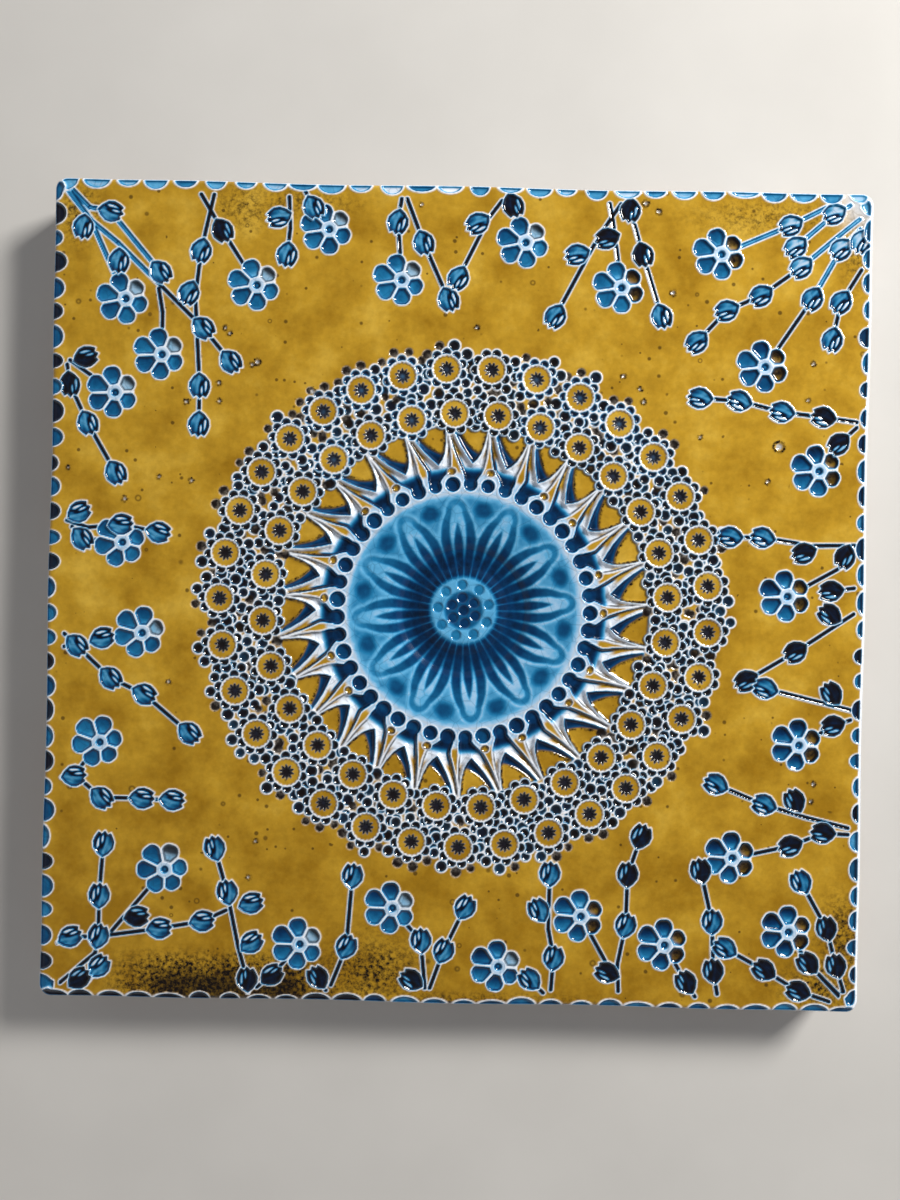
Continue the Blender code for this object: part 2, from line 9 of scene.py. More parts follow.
import bpy
import numpy as np
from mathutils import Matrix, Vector


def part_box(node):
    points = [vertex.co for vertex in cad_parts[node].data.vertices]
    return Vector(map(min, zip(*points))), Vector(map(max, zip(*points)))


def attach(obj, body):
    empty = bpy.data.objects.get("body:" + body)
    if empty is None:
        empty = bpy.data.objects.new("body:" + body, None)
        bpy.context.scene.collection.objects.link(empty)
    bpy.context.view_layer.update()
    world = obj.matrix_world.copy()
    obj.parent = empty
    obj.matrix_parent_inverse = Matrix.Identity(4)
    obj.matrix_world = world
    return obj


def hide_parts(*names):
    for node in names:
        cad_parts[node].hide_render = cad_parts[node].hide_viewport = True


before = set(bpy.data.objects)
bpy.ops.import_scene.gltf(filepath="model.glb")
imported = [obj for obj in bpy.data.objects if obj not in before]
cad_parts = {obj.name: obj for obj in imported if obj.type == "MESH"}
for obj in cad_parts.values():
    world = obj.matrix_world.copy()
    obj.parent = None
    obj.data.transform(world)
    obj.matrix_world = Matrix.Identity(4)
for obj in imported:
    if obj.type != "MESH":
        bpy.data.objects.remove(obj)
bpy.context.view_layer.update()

# The clay slab. A square of earthenware about 10 mm thick, rolled out and cut by hand.
# The pattern is pressed into its face while the clay is soft, so the whole face is drawn
# first, as samples 0.1 mm apart.
MM = 0.001
box_low, box_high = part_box("tile")
SIDE = (box_high.x - box_low.x) / MM
HALF = SIDE / 2
PITCH = 0.1
COUNT = int(round(SIDE / PITCH)) + 1
FAINT = 0.02  # a stamp that covers less than this leaves no detail

axis = np.linspace(-HALF, HALF, COUNT, dtype=np.float32)
# What the face is like at every sample: how deep the clay is pressed in, how thick the
# blue glaze stands, from a bare white lip (0) over sky and cobalt to black (1), how much
# amber glaze lies there, and how much brown-black scum.
face = {name: np.zeros((COUNT, COUNT), np.float32) for name in ("sunk", "blue", "amber", "smoke")}
face["amber"] += 1.0
detail = np.zeros((COUNT, COUNT), bool)
chance = np.random.default_rng(7)


def around(x, y, reach):
    """The samples near a point, and their places measured from it."""
    first_col, first_row = (max(int((v - reach + HALF) / PITCH), 0) for v in (x, y))
    last_col, last_row = (min(int((v + reach + HALF) / PITCH) + 2, COUNT) for v in (x, y))
    here = (slice(first_row, last_row), slice(first_col, last_col))
    return here, axis[here[1]][None, :] - x, axis[here[0]][:, None] - y


def turned(dx, dy, degrees):
    """The same places along and across a direction."""
    cos, sin = math.cos(math.radians(degrees)), math.sin(math.radians(degrees))
    return dx * cos + dy * sin, dy * cos - dx * sin


def soft(value, start, end):
    """0 before the start, 1 after the end, smooth between them."""
    share = np.clip((value - start) / (end - start), 0.0, 1.0)
    return share * share * (3.0 - 2.0 * share)


def hump(value, middle, width):
    return np.exp(-(((value - middle) / width) ** 2))


def press(here, cover, **values):
    """Lays a stamp's values over what is there, as far as the stamp covers it."""
    for name, value in values.items():
        layer = face[name][here]
        layer += (value - layer) * cover
    detail[here] |= cover > FAINT


# The rosette. A shallow bowl pressed below the middle of the face, with twelve petals
# cut as grooves in its slope and a stepped boss. Sky-blue glaze covers it thinly and
# runs to navy at the foot of the slope.
ROSETTE_X = 1.3
ROSETTE_Y = -2.9
BOWL_RADIUS = 21.3
BOWL_PROFILE = (
    (0.0, -1.35), (3.1, -1.35), (3.9, -1.10), (5.6, -1.10), (7.0, -1.50), (8.4, -1.95), (9.6, -2.05),
    (11.2, -1.85), (12.4, -1.22), (13.6, -0.82), (16.0, -0.50), (19.5, -0.16), (BOWL_RADIUS, 0.0),
)
PETALS = 12
PETAL_FIRST = 5.2
PETAL_BAND = (  # radius, degrees from the petal's middle to the band around it, its half width
    (6.5, 9.8, 0.42), (8.9, 10.5, 0.66), (11.3, 10.7, 0.86), (13.5, 9.9, 0.84), (15.9, 7.9, 0.72),
    (18.0, 4.85, 0.54),
)
PETAL_HEAD = (18.0, 1.52, 1.90)  # where a petal's arched tip starts, its half width and height
SPINE = ((6.5, 0.42), (9.0, 0.70), (11.3, 0.84), (12.5, 0.80), (14.5, 0.50), (16.5, 0.0))
BOSS_RADIUS = 6.0
# how many pits, how far out, their radius, where the first is, how thick the glaze stands
BOSS_CELLS = ((9, 4.75, 0.94, 14.0, 0.47), (6, 2.36, 0.93, 36.0, 0.74), (1, 0.0, 0.93, 0.0, 0.78))


def on_circle(x, y, radius, degrees):
    """The place on a circle around a point."""
    turn = math.radians(degrees)
    return x + radius * math.cos(turn), y + radius * math.sin(turn)


here, dx, dy = around(ROSETTE_X, ROSETTE_Y, BOWL_RADIUS + 3.0)
radius = np.hypot(dx, dy)
angle = np.degrees(np.arctan2(dy, dx))
pitch = 360.0 / PETALS
from_middle = np.abs((angle - PETAL_FIRST + pitch / 2) % pitch - pitch / 2)
sideways = np.radians(from_middle) * radius
from_gap = np.radians(pitch / 2 - from_middle) * radius
band_radii, band_turns, band_halves = zip(*PETAL_BAND)
band_line = np.radians(np.interp(radius, band_radii, band_turns)) * radius
head_from, head_half, head_long = PETAL_HEAD
head = np.hypot(sideways / head_half, np.maximum(radius - head_from, 0.0) / head_long)
in_head = radius > head_from
inside_petal = np.where(in_head, head < 1.0, sideways < band_line)
from_band = np.where(in_head, np.abs(head - 1.0) * head_half * 1.15, np.abs(sideways - band_line))
from_band = from_band - np.interp(radius, band_radii, band_halves)
band = soft(from_band, 0.28, -0.28)
spine_half = np.interp(radius, *zip(*SPINE))
spine = soft(sideways, spine_half + 0.24, spine_half - 0.24) * soft(radius, 16.8, 15.4)
dark = np.maximum(band, spine)
between = np.where(inside_petal, 0.0, np.minimum(from_band - 0.25, 20.9 - radius))
wedge = soft(between, 0.0, 0.8) * soft(radius, 13.0, 16.0)
blob = soft(np.hypot(from_gap / 1.9, (radius - 18.6) / 1.5), 1.25, 0.45) * wedge
# painted light and shade: 1 towards the upper left, 0 towards the lower right; it shifts the bowl's
# blues by side, as light falls on it
painted_side_light = 0.5 - 0.5 * np.cos(np.radians(angle + 35.0))

pale = 0.21 + 0.07 * painted_side_light - 0.03 * inside_petal + 0.05 * soft(radius, 15.5, 18.5) * inside_petal
blue = pale + (0.37 + 0.04 * painted_side_light - pale) * wedge
blue = blue + (0.67 - blue) * blob
tone = 0.78 - 0.13 * soft(radius, 11.5, 16.0) - 0.17 * soft(radius, 16.0, 19.5) - 0.05 * painted_side_light
blue = blue + (tone - blue) * dark
# pale rays of raised clay run down between the bands into the pool of glaze
ray_turns = np.minimum(np.abs(from_middle - 4.9), 15.0 - from_middle)
ray_width = 0.10 + 0.035 * (radius - 6.0)
ray = hump(np.radians(ray_turns) * radius, 0.0, ray_width) * soft(radius, 13.5, 11.5)
basin = soft(radius, 12.6, 9.8)
blue = blue + (0.80 + 0.04 * painted_side_light - blue) * basin
blue = blue + (0.36 - blue) * ray * (0.75 - 0.45 * hump(radius, 8.8, 1.8))
blue = blue + (0.17 - blue) * soft(radius, 20.8, 21.4)
grooves = 0.08 * dark * soft(radius, 11.0, 14.0) + 0.10 * blob - 0.04 * ray

bowl = -np.interp(radius, *zip(*BOWL_PROFILE))
boss = soft(radius, BOSS_RADIUS + 0.75, BOSS_RADIUS - 0.35)
cells = np.zeros_like(radius)
net = 0.29 + 0.34 * soft(radius, 3.9, 3.0)
for count, ring_radius, size, first, tone in BOSS_CELLS:
    for k in range(count):
        cell_x, cell_y = on_circle(0.0, 0.0, ring_radius, first + 360.0 * k / count)
        cell = soft(np.hypot(dx - cell_x, dy - cell_y), size + 0.12, size - 0.12)
        cells = np.maximum(cells, cell)
        net = net + (tone - net) * cell
blue = blue + (net - blue) * boss
grooves = grooves * (1.0 - boss) + 0.22 * cells * boss
cover = soft(radius, BOWL_RADIUS + 0.5, BOWL_RADIUS)
press(here, cover, sunk=bowl + grooves, blue=blue, amber=0.0, smoke=0.0)

# Beads and leaves. A ring of round beads pressed with a ball tool along the bowl's edge,
# and a ring of V-shaped leaves outside it. Most beads run into the foot of a leaf. Cobalt
# glaze fills them and thins to bare white ridges, and amber glaze has run in at the tips.
BEADS = 45
BEAD_RING = 23.1
BEAD_RADIUS = 1.33
BEAD_DEPTH = 0.5
LEAVES = 27
LEAF_FIRST = 7.6
LEAF_LINES = (  # the edges of the outer V, left and right, and of the inner one: radius, degrees
    ((23.6, 2.4), (25.0, 3.6), (25.9, 4.5), (28.0, 6.1), (30.0, 7.3), (32.3, 8.2), (34.2, 8.6)),
    ((23.4, 2.2), (25.0, 4.0), (26.0, 4.7), (28.0, 5.1), (30.5, 5.0), (33.0, 4.5), (34.2, 4.3)),
    ((26.9, 0.0), (28.3, 2.3), (29.8, 4.2), (31.6, 5.8), (33.6, 7.0), (34.2, 7.3)),
    ((26.9, 0.0), (27.8, 1.7), (28.8, 2.8), (30.7, 3.7), (33.0, 4.1), (34.2, 4.1)),
)
LEAF_FOOT = 23.2
LEAF_CORNER = 26.9  # where the inner V starts
LEAF_END = 33.8
LEAF_DEPTH = 0.5
RIDGE_WIDTH = 0.26
CELL_RING = 25.5
CELL_RADIUS = 0.62
LIP_HEIGHT = 0.11
LIP_WIDTH = 0.28
LIP_BLUE = 0.02
EDGE_BLUR = 0.09


def raise_lip(here, inside, width, height=LIP_HEIGHT, blur=EDGE_BLUR, kept=1.0):
    """Bare white clay pushed up around an outline that the samples lie inside by so many mm."""
    cover = soft(inside, -width - blur, -width + blur) * kept
    press(here, cover, sunk=-height, blue=LIP_BLUE, amber=0.0, smoke=0.0)


def hollow(here, inside, depth, blue, amber=0.0, smoke=0.0, lip=LIP_WIDTH):
    """A stamped hollow with pooled glaze and a rounded bare lip around it."""
    edge = soft(inside, -lip - EDGE_BLUR, -lip + EDGE_BLUR)
    raised = LIP_HEIGHT * hump(inside, -lip / 2, lip)
    press(here, edge, sunk=-raised, blue=0.0, amber=0.0, smoke=0.0)
    # the brown-black scum reaches a little further up the lip than the blue does
    press(here, soft(inside, -0.16, 0.0), smoke=smoke)
    wall = soft(inside, -EDGE_BLUR, EDGE_BLUR)
    floor = depth * soft(inside, -0.08, 0.38)
    press(here, wall, sunk=floor, blue=blue, amber=amber, smoke=smoke)


here, dx, dy = around(ROSETTE_X, ROSETTE_Y, LEAF_END + 3.0)
radius = np.hypot(dx, dy)
angle = np.degrees(np.arctan2(dy, dx))
collar = soft(radius, BOWL_RADIUS - 0.1, BOWL_RADIUS + 0.5) * soft(radius, 25.6, 24.8)
press(here, collar, sunk=0.0, blue=0.15, amber=0.0, smoke=0.0)
outer_left, outer_right, inner_left, inner_right = (
    np.radians(np.interp(radius, *zip(*line))) * radius for line in LEAF_LINES
)
joined = set()
for k in range(LEAVES):
    middle = LEAF_FIRST + 360.0 * k / LEAVES
    bead = 360.0 / BEADS * round(middle * BEADS / 360.0)
    joined.add(bead % 360.0)
    turn = (angle - middle + 180.0) % 360.0 - 180.0
    lean = (bead - middle) * soft(radius, 26.6, 23.6)
    across = np.radians(turn - lean) * radius
    # how far inside the outer V, and how far inside the inner one
    in_outer = np.minimum(outer_left - across, across + outer_right)
    in_outer = np.minimum(in_outer, radius - LEAF_FOOT)
    in_inner = np.minimum(inner_left - across, across + inner_right) * 0.85
    along = radius - LEAF_CORNER
    in_inner = np.where(along > 0.0, in_inner, along - np.abs(across) * 0.5)
    near = np.abs(turn) < 14.0
    ended = soft(radius, LEAF_END + 0.4, LEAF_END - 0.4) * near
    # the floor of the outer V: navy at its foot and along its edges, white towards the
    # inner ridge, and amber in its arms beside a thin brown line
    to_ridge = -in_inner
    run = soft(radius, 27.6, 29.0)
    left_arm = soft(across, -0.4, 0.4)
    foot = soft(radius, 26.7, 25.0)
    edge_band = soft(in_outer, 0.80, 0.50) * soft(radius, 31.5, 28.0) * left_arm
    floor_blue = 0.04 + 0.80 * np.maximum(foot, edge_band)
    floor_amber = run * soft(in_outer, 0.15, 0.35) * soft(to_ridge, 0.35, 0.60)
    floor_smoke = 0.92 * soft(in_outer, 0.40 + 0.20 * left_arm, 0.25) * soft(radius, 25.6, 27.0)
    raise_lip(here, in_outer, RIDGE_WIDTH, blur=0.07, kept=ended)
    cover = soft(in_outer, -0.08, 0.10) * ended
    press(
        here, cover, sunk=LEAF_DEPTH * soft(in_outer, 0.0, 0.5) * soft(to_ridge, 0.0, 0.9),
        blue=floor_blue, amber=floor_amber, smoke=floor_smoke,
    )
    # the inner V: navy fills its corner and runs up its left ridge, and amber has pooled
    # in its mouth
    raise_lip(here, in_inner, RIDGE_WIDTH, LIP_HEIGHT * 0.8, blur=0.06, kept=ended)
    wedge_edge = np.interp(along, (0.0, 1.8, 3.5, 6.5), (3.2, 2.3, 1.2, 0.45))
    past = inner_left - across - wedge_edge
    mouth = soft(past, -0.10, 0.30) * soft(along, 1.7, 2.6)
    near_right = soft(in_inner, 0.45, 0.20) * soft(across, 0.4, -0.4)
    inner_blue = 0.82 - 0.14 * hump(past, -0.35, 0.45) * soft(along, 0.8, 2.0)
    inner_smoke = np.maximum(0.85 * near_right, 0.65 * hump(past, 0.35, 0.30) * soft(along, 1.8, 2.8))
    cover = soft(in_inner, -0.06, 0.10) * ended
    press(
        here, cover, sunk=LEAF_DEPTH * soft(in_inner, 0.0, 0.6) * (1.0 - 0.5 * mouth),
        blue=inner_blue, amber=mouth, smoke=inner_smoke,
    )
for k in range(BEADS):
    way = 360.0 * k / BEADS
    size = BEAD_RADIUS * (1.0 + 0.05 * chance.standard_normal())
    spot, bead_dx, bead_dy = around(*on_circle(ROSETTE_X, ROSETTE_Y, BEAD_RING, way), 2.4)
    inside = size - np.hypot(bead_dx, bead_dy)
    floor = 0.74 + 0.04 * chance.standard_normal() + 0.08 * hump(inside, 0.12, 0.18)
    if way in joined:
        open_side = soft(turned(bead_dx, bead_dy, way)[0], 0.2, 0.9)
        raise_lip(spot, inside, LIP_WIDTH, blur=0.1, kept=1.0 - open_side)
        depth = BEAD_DEPTH * np.maximum(soft(inside, -0.08, 0.45), open_side)
        press(spot, soft(inside, -0.1, 0.1), sunk=depth, blue=floor + (0.78 - floor) * open_side)
    else:
        hollow(spot, inside, BEAD_DEPTH, floor)
        # the small amber cell outside a bead that has no leaf
        spot, cell_dx, cell_dy = around(*on_circle(ROSETTE_X, ROSETTE_Y, CELL_RING, way), 1.6)
        along, across = turned(cell_dx, cell_dy, way)
        inside = CELL_RADIUS - np.hypot(along, across * 0.85)
        scum = 0.25 + 0.5 * soft(inside, 0.3, 0.0)
        hollow(spot, inside, 0.25, 0.3, amber=1.0, smoke=scum, lip=0.22)

# Flower rings. Two rings of small flowers, each pressed with one stamp that has a star
# in its eye, a flat collar and ten lobes with a loose bead behind every gap. Amber glaze
# lies on the collars and near-black glaze in the eyes and lobes. The lips stay white.
# count, radius, first one's place in degrees, and how it strays along and across the ring
RINGS = (
    (28, 36.5, 4.7, ((1, 1.3, -70.0), (2, 0.4, 136.0)), ((1, 0.3, 0.0), (2, 0.5, -17.0))),
    (33, 44.2, 6.7, ((1, 1.6, -8.0), (2, 1.4, 176.0)), ((1, 0.5, 76.0), (2, 0.5, -24.0))),
)
EYE_RADIUS = 1.14
EYE_POINTS = 10
COLLAR_RADIUS = 2.42
RIM_RADIUS = 2.70
LOBES = 10
LOBE_RING = 2.98
LOBE_RADIUS = 0.82
LOBE_CUT = 2.72  # the lobes' flat inner ends lie on this circle
LOOSE_BEAD_RING = 4.45
LOOSE_BEAD_RADIUS = 0.88
RINGS_START = 33.2  # the loose beads stay outside of this circle
RINGS_END = 47.2  # and the single ones at the very rim lie outside of this one


def stray(waves, way):
    """How far the stamping hand has strayed, this many degrees on from the first flower."""
    return sum(size * math.cos(math.radians(often * way - peak)) for often, size, peak in waves)


flowers = []
for count, ring_radius, first, along, across in RINGS:
    for k in range(count):
        way = 360.0 * k / count
        turn = first + way + stray(along, way)
        spot = on_circle(ROSETTE_X, ROSETTE_Y, ring_radius + stray(across, way), turn)
        flowers.append((*spot, turn + chance.uniform(-18, 18), ring_radius > 40.0))

for x, y, stamped_at, outermost in flowers:
    # the loose beads come first, so that the flowers beside them press over them
    for k in range(LOBES):
        way = stamped_at + 360.0 * (k + 0.5) / LOBES
        bead_x, bead_y = on_circle(x, y, LOOSE_BEAD_RING + chance.uniform(-0.1, 0.15), way)
        from_rosette = math.hypot(bead_x - ROSETTE_X, bead_y - ROSETTE_Y)
        if from_rosette < RINGS_START:
            continue
        outside = outermost and from_rosette > RINGS_END
        if outside and (bead_x > 30.0 or chance.random() < 0.2) and chance.random() < 0.6:
            continue
        spot, bead_dx, bead_dy = around(bead_x, bead_y, 1.8)
        size = LOOSE_BEAD_RADIUS * chance.uniform(0.8, 1.1)
        inside = size - np.hypot(bead_dx, bead_dy)
        if outside and chance.random() < 0.5 or chance.random() < 0.25:
            cover = soft(inside, -0.12, 0.16)
            scum = 0.99 - 0.12 * soft(turned(bead_dx, bead_dy, way)[0], 0.2, -0.6)
            press(spot, cover, sunk=0.20 * cover, amber=0.5, smoke=scum)
        else:
            floor, scum = chance.uniform(0.50, 0.90), chance.uniform(0.80, 0.99)
            hollow(spot, inside, 0.25, floor, smoke=scum, lip=0.36)

for x, y, stamped_at, outermost in flowers:
    spot, flower_dx, flower_dy = around(x, y, 4.6)
    from_eye = np.hypot(flower_dx, flower_dy)
    around_eye = np.degrees(np.arctan2(flower_dy, flower_dx)) - stamped_at
    pitch = 360.0 / LOBES
    lobe_turn = np.radians((around_eye + pitch / 2) % pitch - pitch / 2)
    lobe_x = from_eye * np.cos(lobe_turn) - LOBE_RING
    lobe_y = from_eye * np.sin(lobe_turn)
    in_lobe = LOBE_RADIUS - np.hypot(lobe_x, lobe_y)
    in_moon = np.minimum(in_lobe, from_eye - LOBE_CUT)
    in_body = np.maximum(in_lobe + 0.24, RIM_RADIUS - from_eye)
    # the glaze is bluer in some of the flowers above the rosette
    bluer = 0.8 * soft(y, 5.0, 40.0) * chance.random() + 0.25 * chance.random()
    raise_lip(spot, in_body, 0.0, LIP_HEIGHT * 0.9)
    glint = 0.10 * hump(lobe_x, -0.1, 0.25) * hump(lobe_y, 0.15, 0.4)
    smoke = 0.98 - 0.9 * max(bluer - 0.2, 0.0) - glint
    press(spot, soft(in_moon, -0.04, 0.06), smoke=smoke)
    depth = 0.28 * soft(in_moon, 0.0, 0.45)
    press(spot, soft(in_moon, 0.02, 0.18), sunk=depth, blue=0.80, smoke=smoke)
    # the collar with its notched white rim, and a thin painted shade on the collar just inside the rim
    notch = 0.07 * np.cos(np.radians(around_eye * 20.0))
    in_collar = COLLAR_RADIUS + notch - from_eye
    cover = soft(in_collar, -0.08, 0.10)
    press(spot, cover, sunk=0.10 * cover, blue=0.12, amber=1.0, smoke=0.30 * hump(in_collar, 0.05, 0.16))
    # the star in the eye, with a painted highlight as a paler blue spot in its middle where the flower's
    # glaze is bluer
    star = EYE_RADIUS + 0.27 * np.cos(np.radians(around_eye * EYE_POINTS)) - from_eye
    middle = hump(from_eye, 0.0, 0.60) * bluer
    press(
        spot, soft(star, -0.08, 0.08), sunk=0.40 * soft(star, -0.1, 0.6), blue=0.75 - 0.25 * middle,
        amber=0.1, smoke=0.97 - 0.8 * middle,
    )

# Sprays. Stems drawn with a point into the soft clay, with buds and six-petalled flowers
# pressed beside and over them. Cobalt glaze has pooled in them, darker towards the lower
# right, and the lips that were pushed up around them show the white body.
LAYOUT_SPAN = 152.2
LAYOUT_MIDDLE = (-0.5, -0.1)
# Each stem from its root: a pair is a bud, a pair in square brackets a bend, and three
# numbers are a flower and the turn that it was stamped at.
STEMS = (
    ((-74, 74), [-70, 70.2], (-66, 69.5), (-56.6, 58.5)),
    ((-74, 73.4), [-69.3, 67.5], [-64.5, 63.7], [-57, 56.5], (-48.5, 48.3), (-43.3, 42.2)),
    ((-69, 66.5), (-62.9, 53.4, 47)),
    ((-56.8, 55.4), [-56, 51], (-56.0, 43.2, 38)),
    ((-46.9, 73), (-49.1, 62.6), [-50, 54], (-48.9, 37.6), (-48.9, 30.5)),
    ((-49.3, 73), (-45.3, 66.4), (-38.7, 56.4, 45)),
    ((-33, 73), [-32.7, 67], (-33.2, 62.2)),
    ((-30.5, 75), (-28.5, 71.2), (-25.5, 67.0, 44)),
    ((-12.2, 73), (-12.8, 68.7), (-11.9, 57.9, 44)),
    ((-11.2, 73), (-8, 64.9), (-3.2, 54.5)),
    ((6.4, 73), [4, 69.7], (-1.4, 58.5)),
    ((7.2, 75), (8.4, 72.2), (10.9, 65.3, 47)),
    ((28.4, 73), [24, 66], (16.7, 51.8)),
    ((26.3, 73), [27, 69.3], (28.8, 57.3, 44)),
    ((30.3, 75), (30.1, 71.8), (32.6, 63.5), (36.3, 52.2)),
    ((66.5, 73), (59.9, 69.5), (47.2, 63.9, 44)),
    ((71, 73.4), (68, 71.8), (60.9, 65.5)),
    ((72.6, 71), (62, 61.8), (54.7, 56.4), (48.4, 53.5), (43, 47.6)),
    ((72.8, 69), (69.3, 65.3), (64.2, 56), (55.7, 43.2, 42)),
    ((73.2, 61.5), (69.5, 55.5), (68, 48.5)),
    ((73, 33.3), (66.7, 34.1), (59, 34.9), (51.1, 36.8), (43.8, 37.2)),
    ((73, 32.3), (69.7, 29.3), (66.1, 24.1, 40)),
    ((73, 10.5), [65, 10.3], (55.9, 11.6), (49.9, 11.6)),
    ((72.6, 7.6), (60.7, 0.8, 38)),
    ((73, 2.6), (68.8, 2)),
    ((73, -2.2), [69, -4.9], (62.4, -9.4), (53.4, -14.9)),
    ((73, -20), [66.5, -18.5], (57, -16.3)),
    ((73, -21.8), (69.7, -22.9), (63.4, -26.7, 31)),
    ((72.8, -41.8), [65, -40], (57.2, -37.8), (48.2, -34.2)),
    ((72.8, -43), (68.2, -42.8), (62.2, -45.3), (51.5, -47.8, 31)),
    ((72, -73), (65.9, -67), (62.2, -61.3, 30)),
    ((72.6, -72.4), (71.1, -67.4), (69.2, -60.5), (64.3, -52)),
    ((70, -74), (64.2, -72.2), (57.8, -68.4), (50.5, -64.5)),
    ((49.2, -73), (48.4, -68.8), (48, -59.7), (45.7, -50.3)),
    ((45.1, -73.6), (43.4, -71), (39.3, -64.2, 30)),
    ((30.9, -73), [30.6, -68], (32, -60.7), (32.2, -51.3), (34.5, -44.2)),
    ((30.2, -70.5), (23.7, -59.2, 31)),
    ((18.4, -73), (18.8, -67), [17.7, -61.5], (17.8, -51.5)),
    ((17, -73.6), (14.5, -71.1), (8.6, -68.8, 31)),
    ((-4.9, -73), (-5.8, -64.3), (-11.2, -58.4, 33)),
    ((-4.0, -73), (-1.6, -66.1), (2.2, -58)),
    ((-23.2, -74), (-24.7, -71.6)),
    ((-22.3, -73), (-19.6, -65.7), (-18.7, -52.6)),
    ((-36, -73.6), (-33.3, -71.3), (-28.2, -65.4, 34)),
    ((-37.6, -74.6), (-37.8, -72.2), [-39.6, -66], (-41.8, -56.1), (-44.3, -48)),
    ((-72.6, -73.4), [-66, -67.8], (-65.5, -64.7), (-65.5, -57.2), (-64.9, -47.6)),
    ((-67.2, -73), (-65.3, -70.3)),
    ((-73, -66), (-70.8, -64.9), (-65.5, -64.7), (-54.3, -63), (-46.4, -61.5), [-42, -59.4]),
    ((-63, -63.6), (-53.5, -52.1, 10)),
    ((-73, -35.4), (-70.7, -35.1), (-66, -28.8, 16)),
    ((-68.5, -36.5), (-65.5, -39), (-58, -39), (-52.4, -39.2)),
    ((-73, -11.2), [-69, -10.6], (-66, -9.5), (-58.6, -8.4, 21)),
    ((-73, -8.8), (-70.7, -10.9), (-64.3, -16.8), (-58, -19.7), (-49.5, -26.7)),
    ((-73, 12.2), [-69, 10.9], (-63, 11.6), (-56, 10.3)),
    ((-72, 11), (-70.1, 8.9), (-62.6, 8.3, 20)),
    ((-73, 41.8), (-64.5, 36, 37)),
    ((-73.5, 41), (-73, 37.4), (-69.5, 30.3), (-64.1, 21.2)),
)
# buds beside the stems, and the way each of them points
SIDE_BUDS = (
    (-71, 66.6, 265), (-64.3, 60.4, 270), (-51.2, 54.7, 250), (-34.8, 69.1, 200),
    (2, 68.7, 215), (20.5, 63.3, 200), (26, 66.4, 200), (63.6, 8.9, 200),
    (71.2, 8.4, 250), (68.6, -2.4, 150), (69.3, -17, 130), (62.8, -37, 120),
    (28.8, -69.5, 160), (15.9, -58.2, 120), (-7.4, -71.6, 150), (-37.2, -65.3, 40),
    (-37.4, -58, 20), (-69, -72.6, 40), (-58.5, -60.9, 10), (-70.8, 13.7, 30),
    (-70.1, 42.4, 20), (73, 66.8, 250),
)
# places of the buds whose glaze came out near black, and of those it barely coloured
BLACK_BUDS = (
    (-70, 42), (-73, 37), (-45, 66), (8, 72), (26, 66), (30, 72), (33, 63), (64, 9), (71, 8),
    (69, 2), (69, -2), (62, -9), (53, -15), (69, -17), (70, -23), (68, -43), (62, -45),
    (63, -37), (67, 34), (70, 29), (48, -69), (43, -71), (29, -69), (58, -68), (64, -72),
    (66, -67), (71, -67), (69, -60), (-7, -72), (-25, -72), (-38, -72), (-33, -71), (-58, -61),
    (-69, -73), (32, -51), (34, -44), (45, -50),
)
PALE_BUDS = ((68, 72), (69, 65), (73, 67), (61, 65), (62, 62), (60, 69))
STEM_HALF_WIDTH = 0.28
STEM_LIP = 0.26
STEM_DEPTH = 0.14
STEM_TONE = 0.98
BUD_OUTLINE = (
    (-2.45, 0.0), (-1.75, -1.0), (-0.7, -1.8), (0.4, -1.95), (1.3, -1.6), (2.05, -1.2),
    (1.75, -0.65), (2.45, -0.1), (1.85, 0.45), (2.25, 1.05), (1.4, 1.6), (0.4, 1.95),
    (-0.7, 1.8), (-1.75, 1.0),
)
# each slit's middle, half length, half width and lean
BUD_SLITS = ((0.15, 1.02, 1.25, 0.36, 10.0), (0.85, 0.30, 0.95, 0.27, 4.0))
BUD_DEPTH = 0.26
# each petal's turn in the stamp and how far it reaches; the eye isn't in the stamp's middle
SPRAY_PETALS = (
    (0.0, 4.0), (64.0, 4.7), (120.0, 5.2), (170.0, 4.95), (228.0, 4.45), (292.0, 4.0),
)
SPRAY_PETAL_FOOT = 1.50
SPRAY_PETAL_CORNER = 1.05
SPRAY_PETAL_HALF = 1.52
SPRAY_PETAL_DEPTH = 0.28
SPRAY_WEB = 0.50


def on_tile(x, y):
    """The place on the tile of a place in the drawing of the sprays."""
    unit = SIDE / LAYOUT_SPAN
    return (x - LAYOUT_MIDDLE[0]) * unit, (y - LAYOUT_MIDDLE[1]) * unit


def listed(x, y, places):
    return any(math.hypot(x - a, y - b) < 1.4 for a, b in places)


def inside_polygon(along, across, corners):
    """How far each sample lies inside a closed outline, in mm."""
    nearest = np.full(np.broadcast(along, across).shape, 1e9, np.float32)
    within = np.zeros(nearest.shape, bool)
    for (x0, y0), (x1, y1) in zip(corners, corners[1:] + corners[:1]):
        ex, ey = x1 - x0, y1 - y0
        px, py = along - x0, across - y0
        share = np.clip((px * ex + py * ey) / (ex * ex + ey * ey), 0.0, 1.0)
        nearest = np.minimum(nearest, np.hypot(px - ex * share, py - ey * share))
        if y0 != y1:
            crossing = ((y0 > across) != (y1 > across)) & (along < ex * (across - y0) / ey + x0)
            within ^= crossing
    return np.where(within, nearest, -nearest)


def along_stem(start, end):
    """The samples near a stretch of stem, and how far they lie from its middle line."""
    (x0, y0), (x1, y1) = start, end
    long = math.hypot(x1 - x0, y1 - y0)
    here, dx, dy = around((x0 + x1) / 2, (y0 + y1) / 2, long / 2 + 2.0)
    share = np.clip((dx * (x1 - x0) + dy * (y1 - y0)) / long ** 2 + 0.5, 0.0, 1.0) - 0.5
    return here, np.hypot(dx - share * (x1 - x0), dy - share * (y1 - y0))


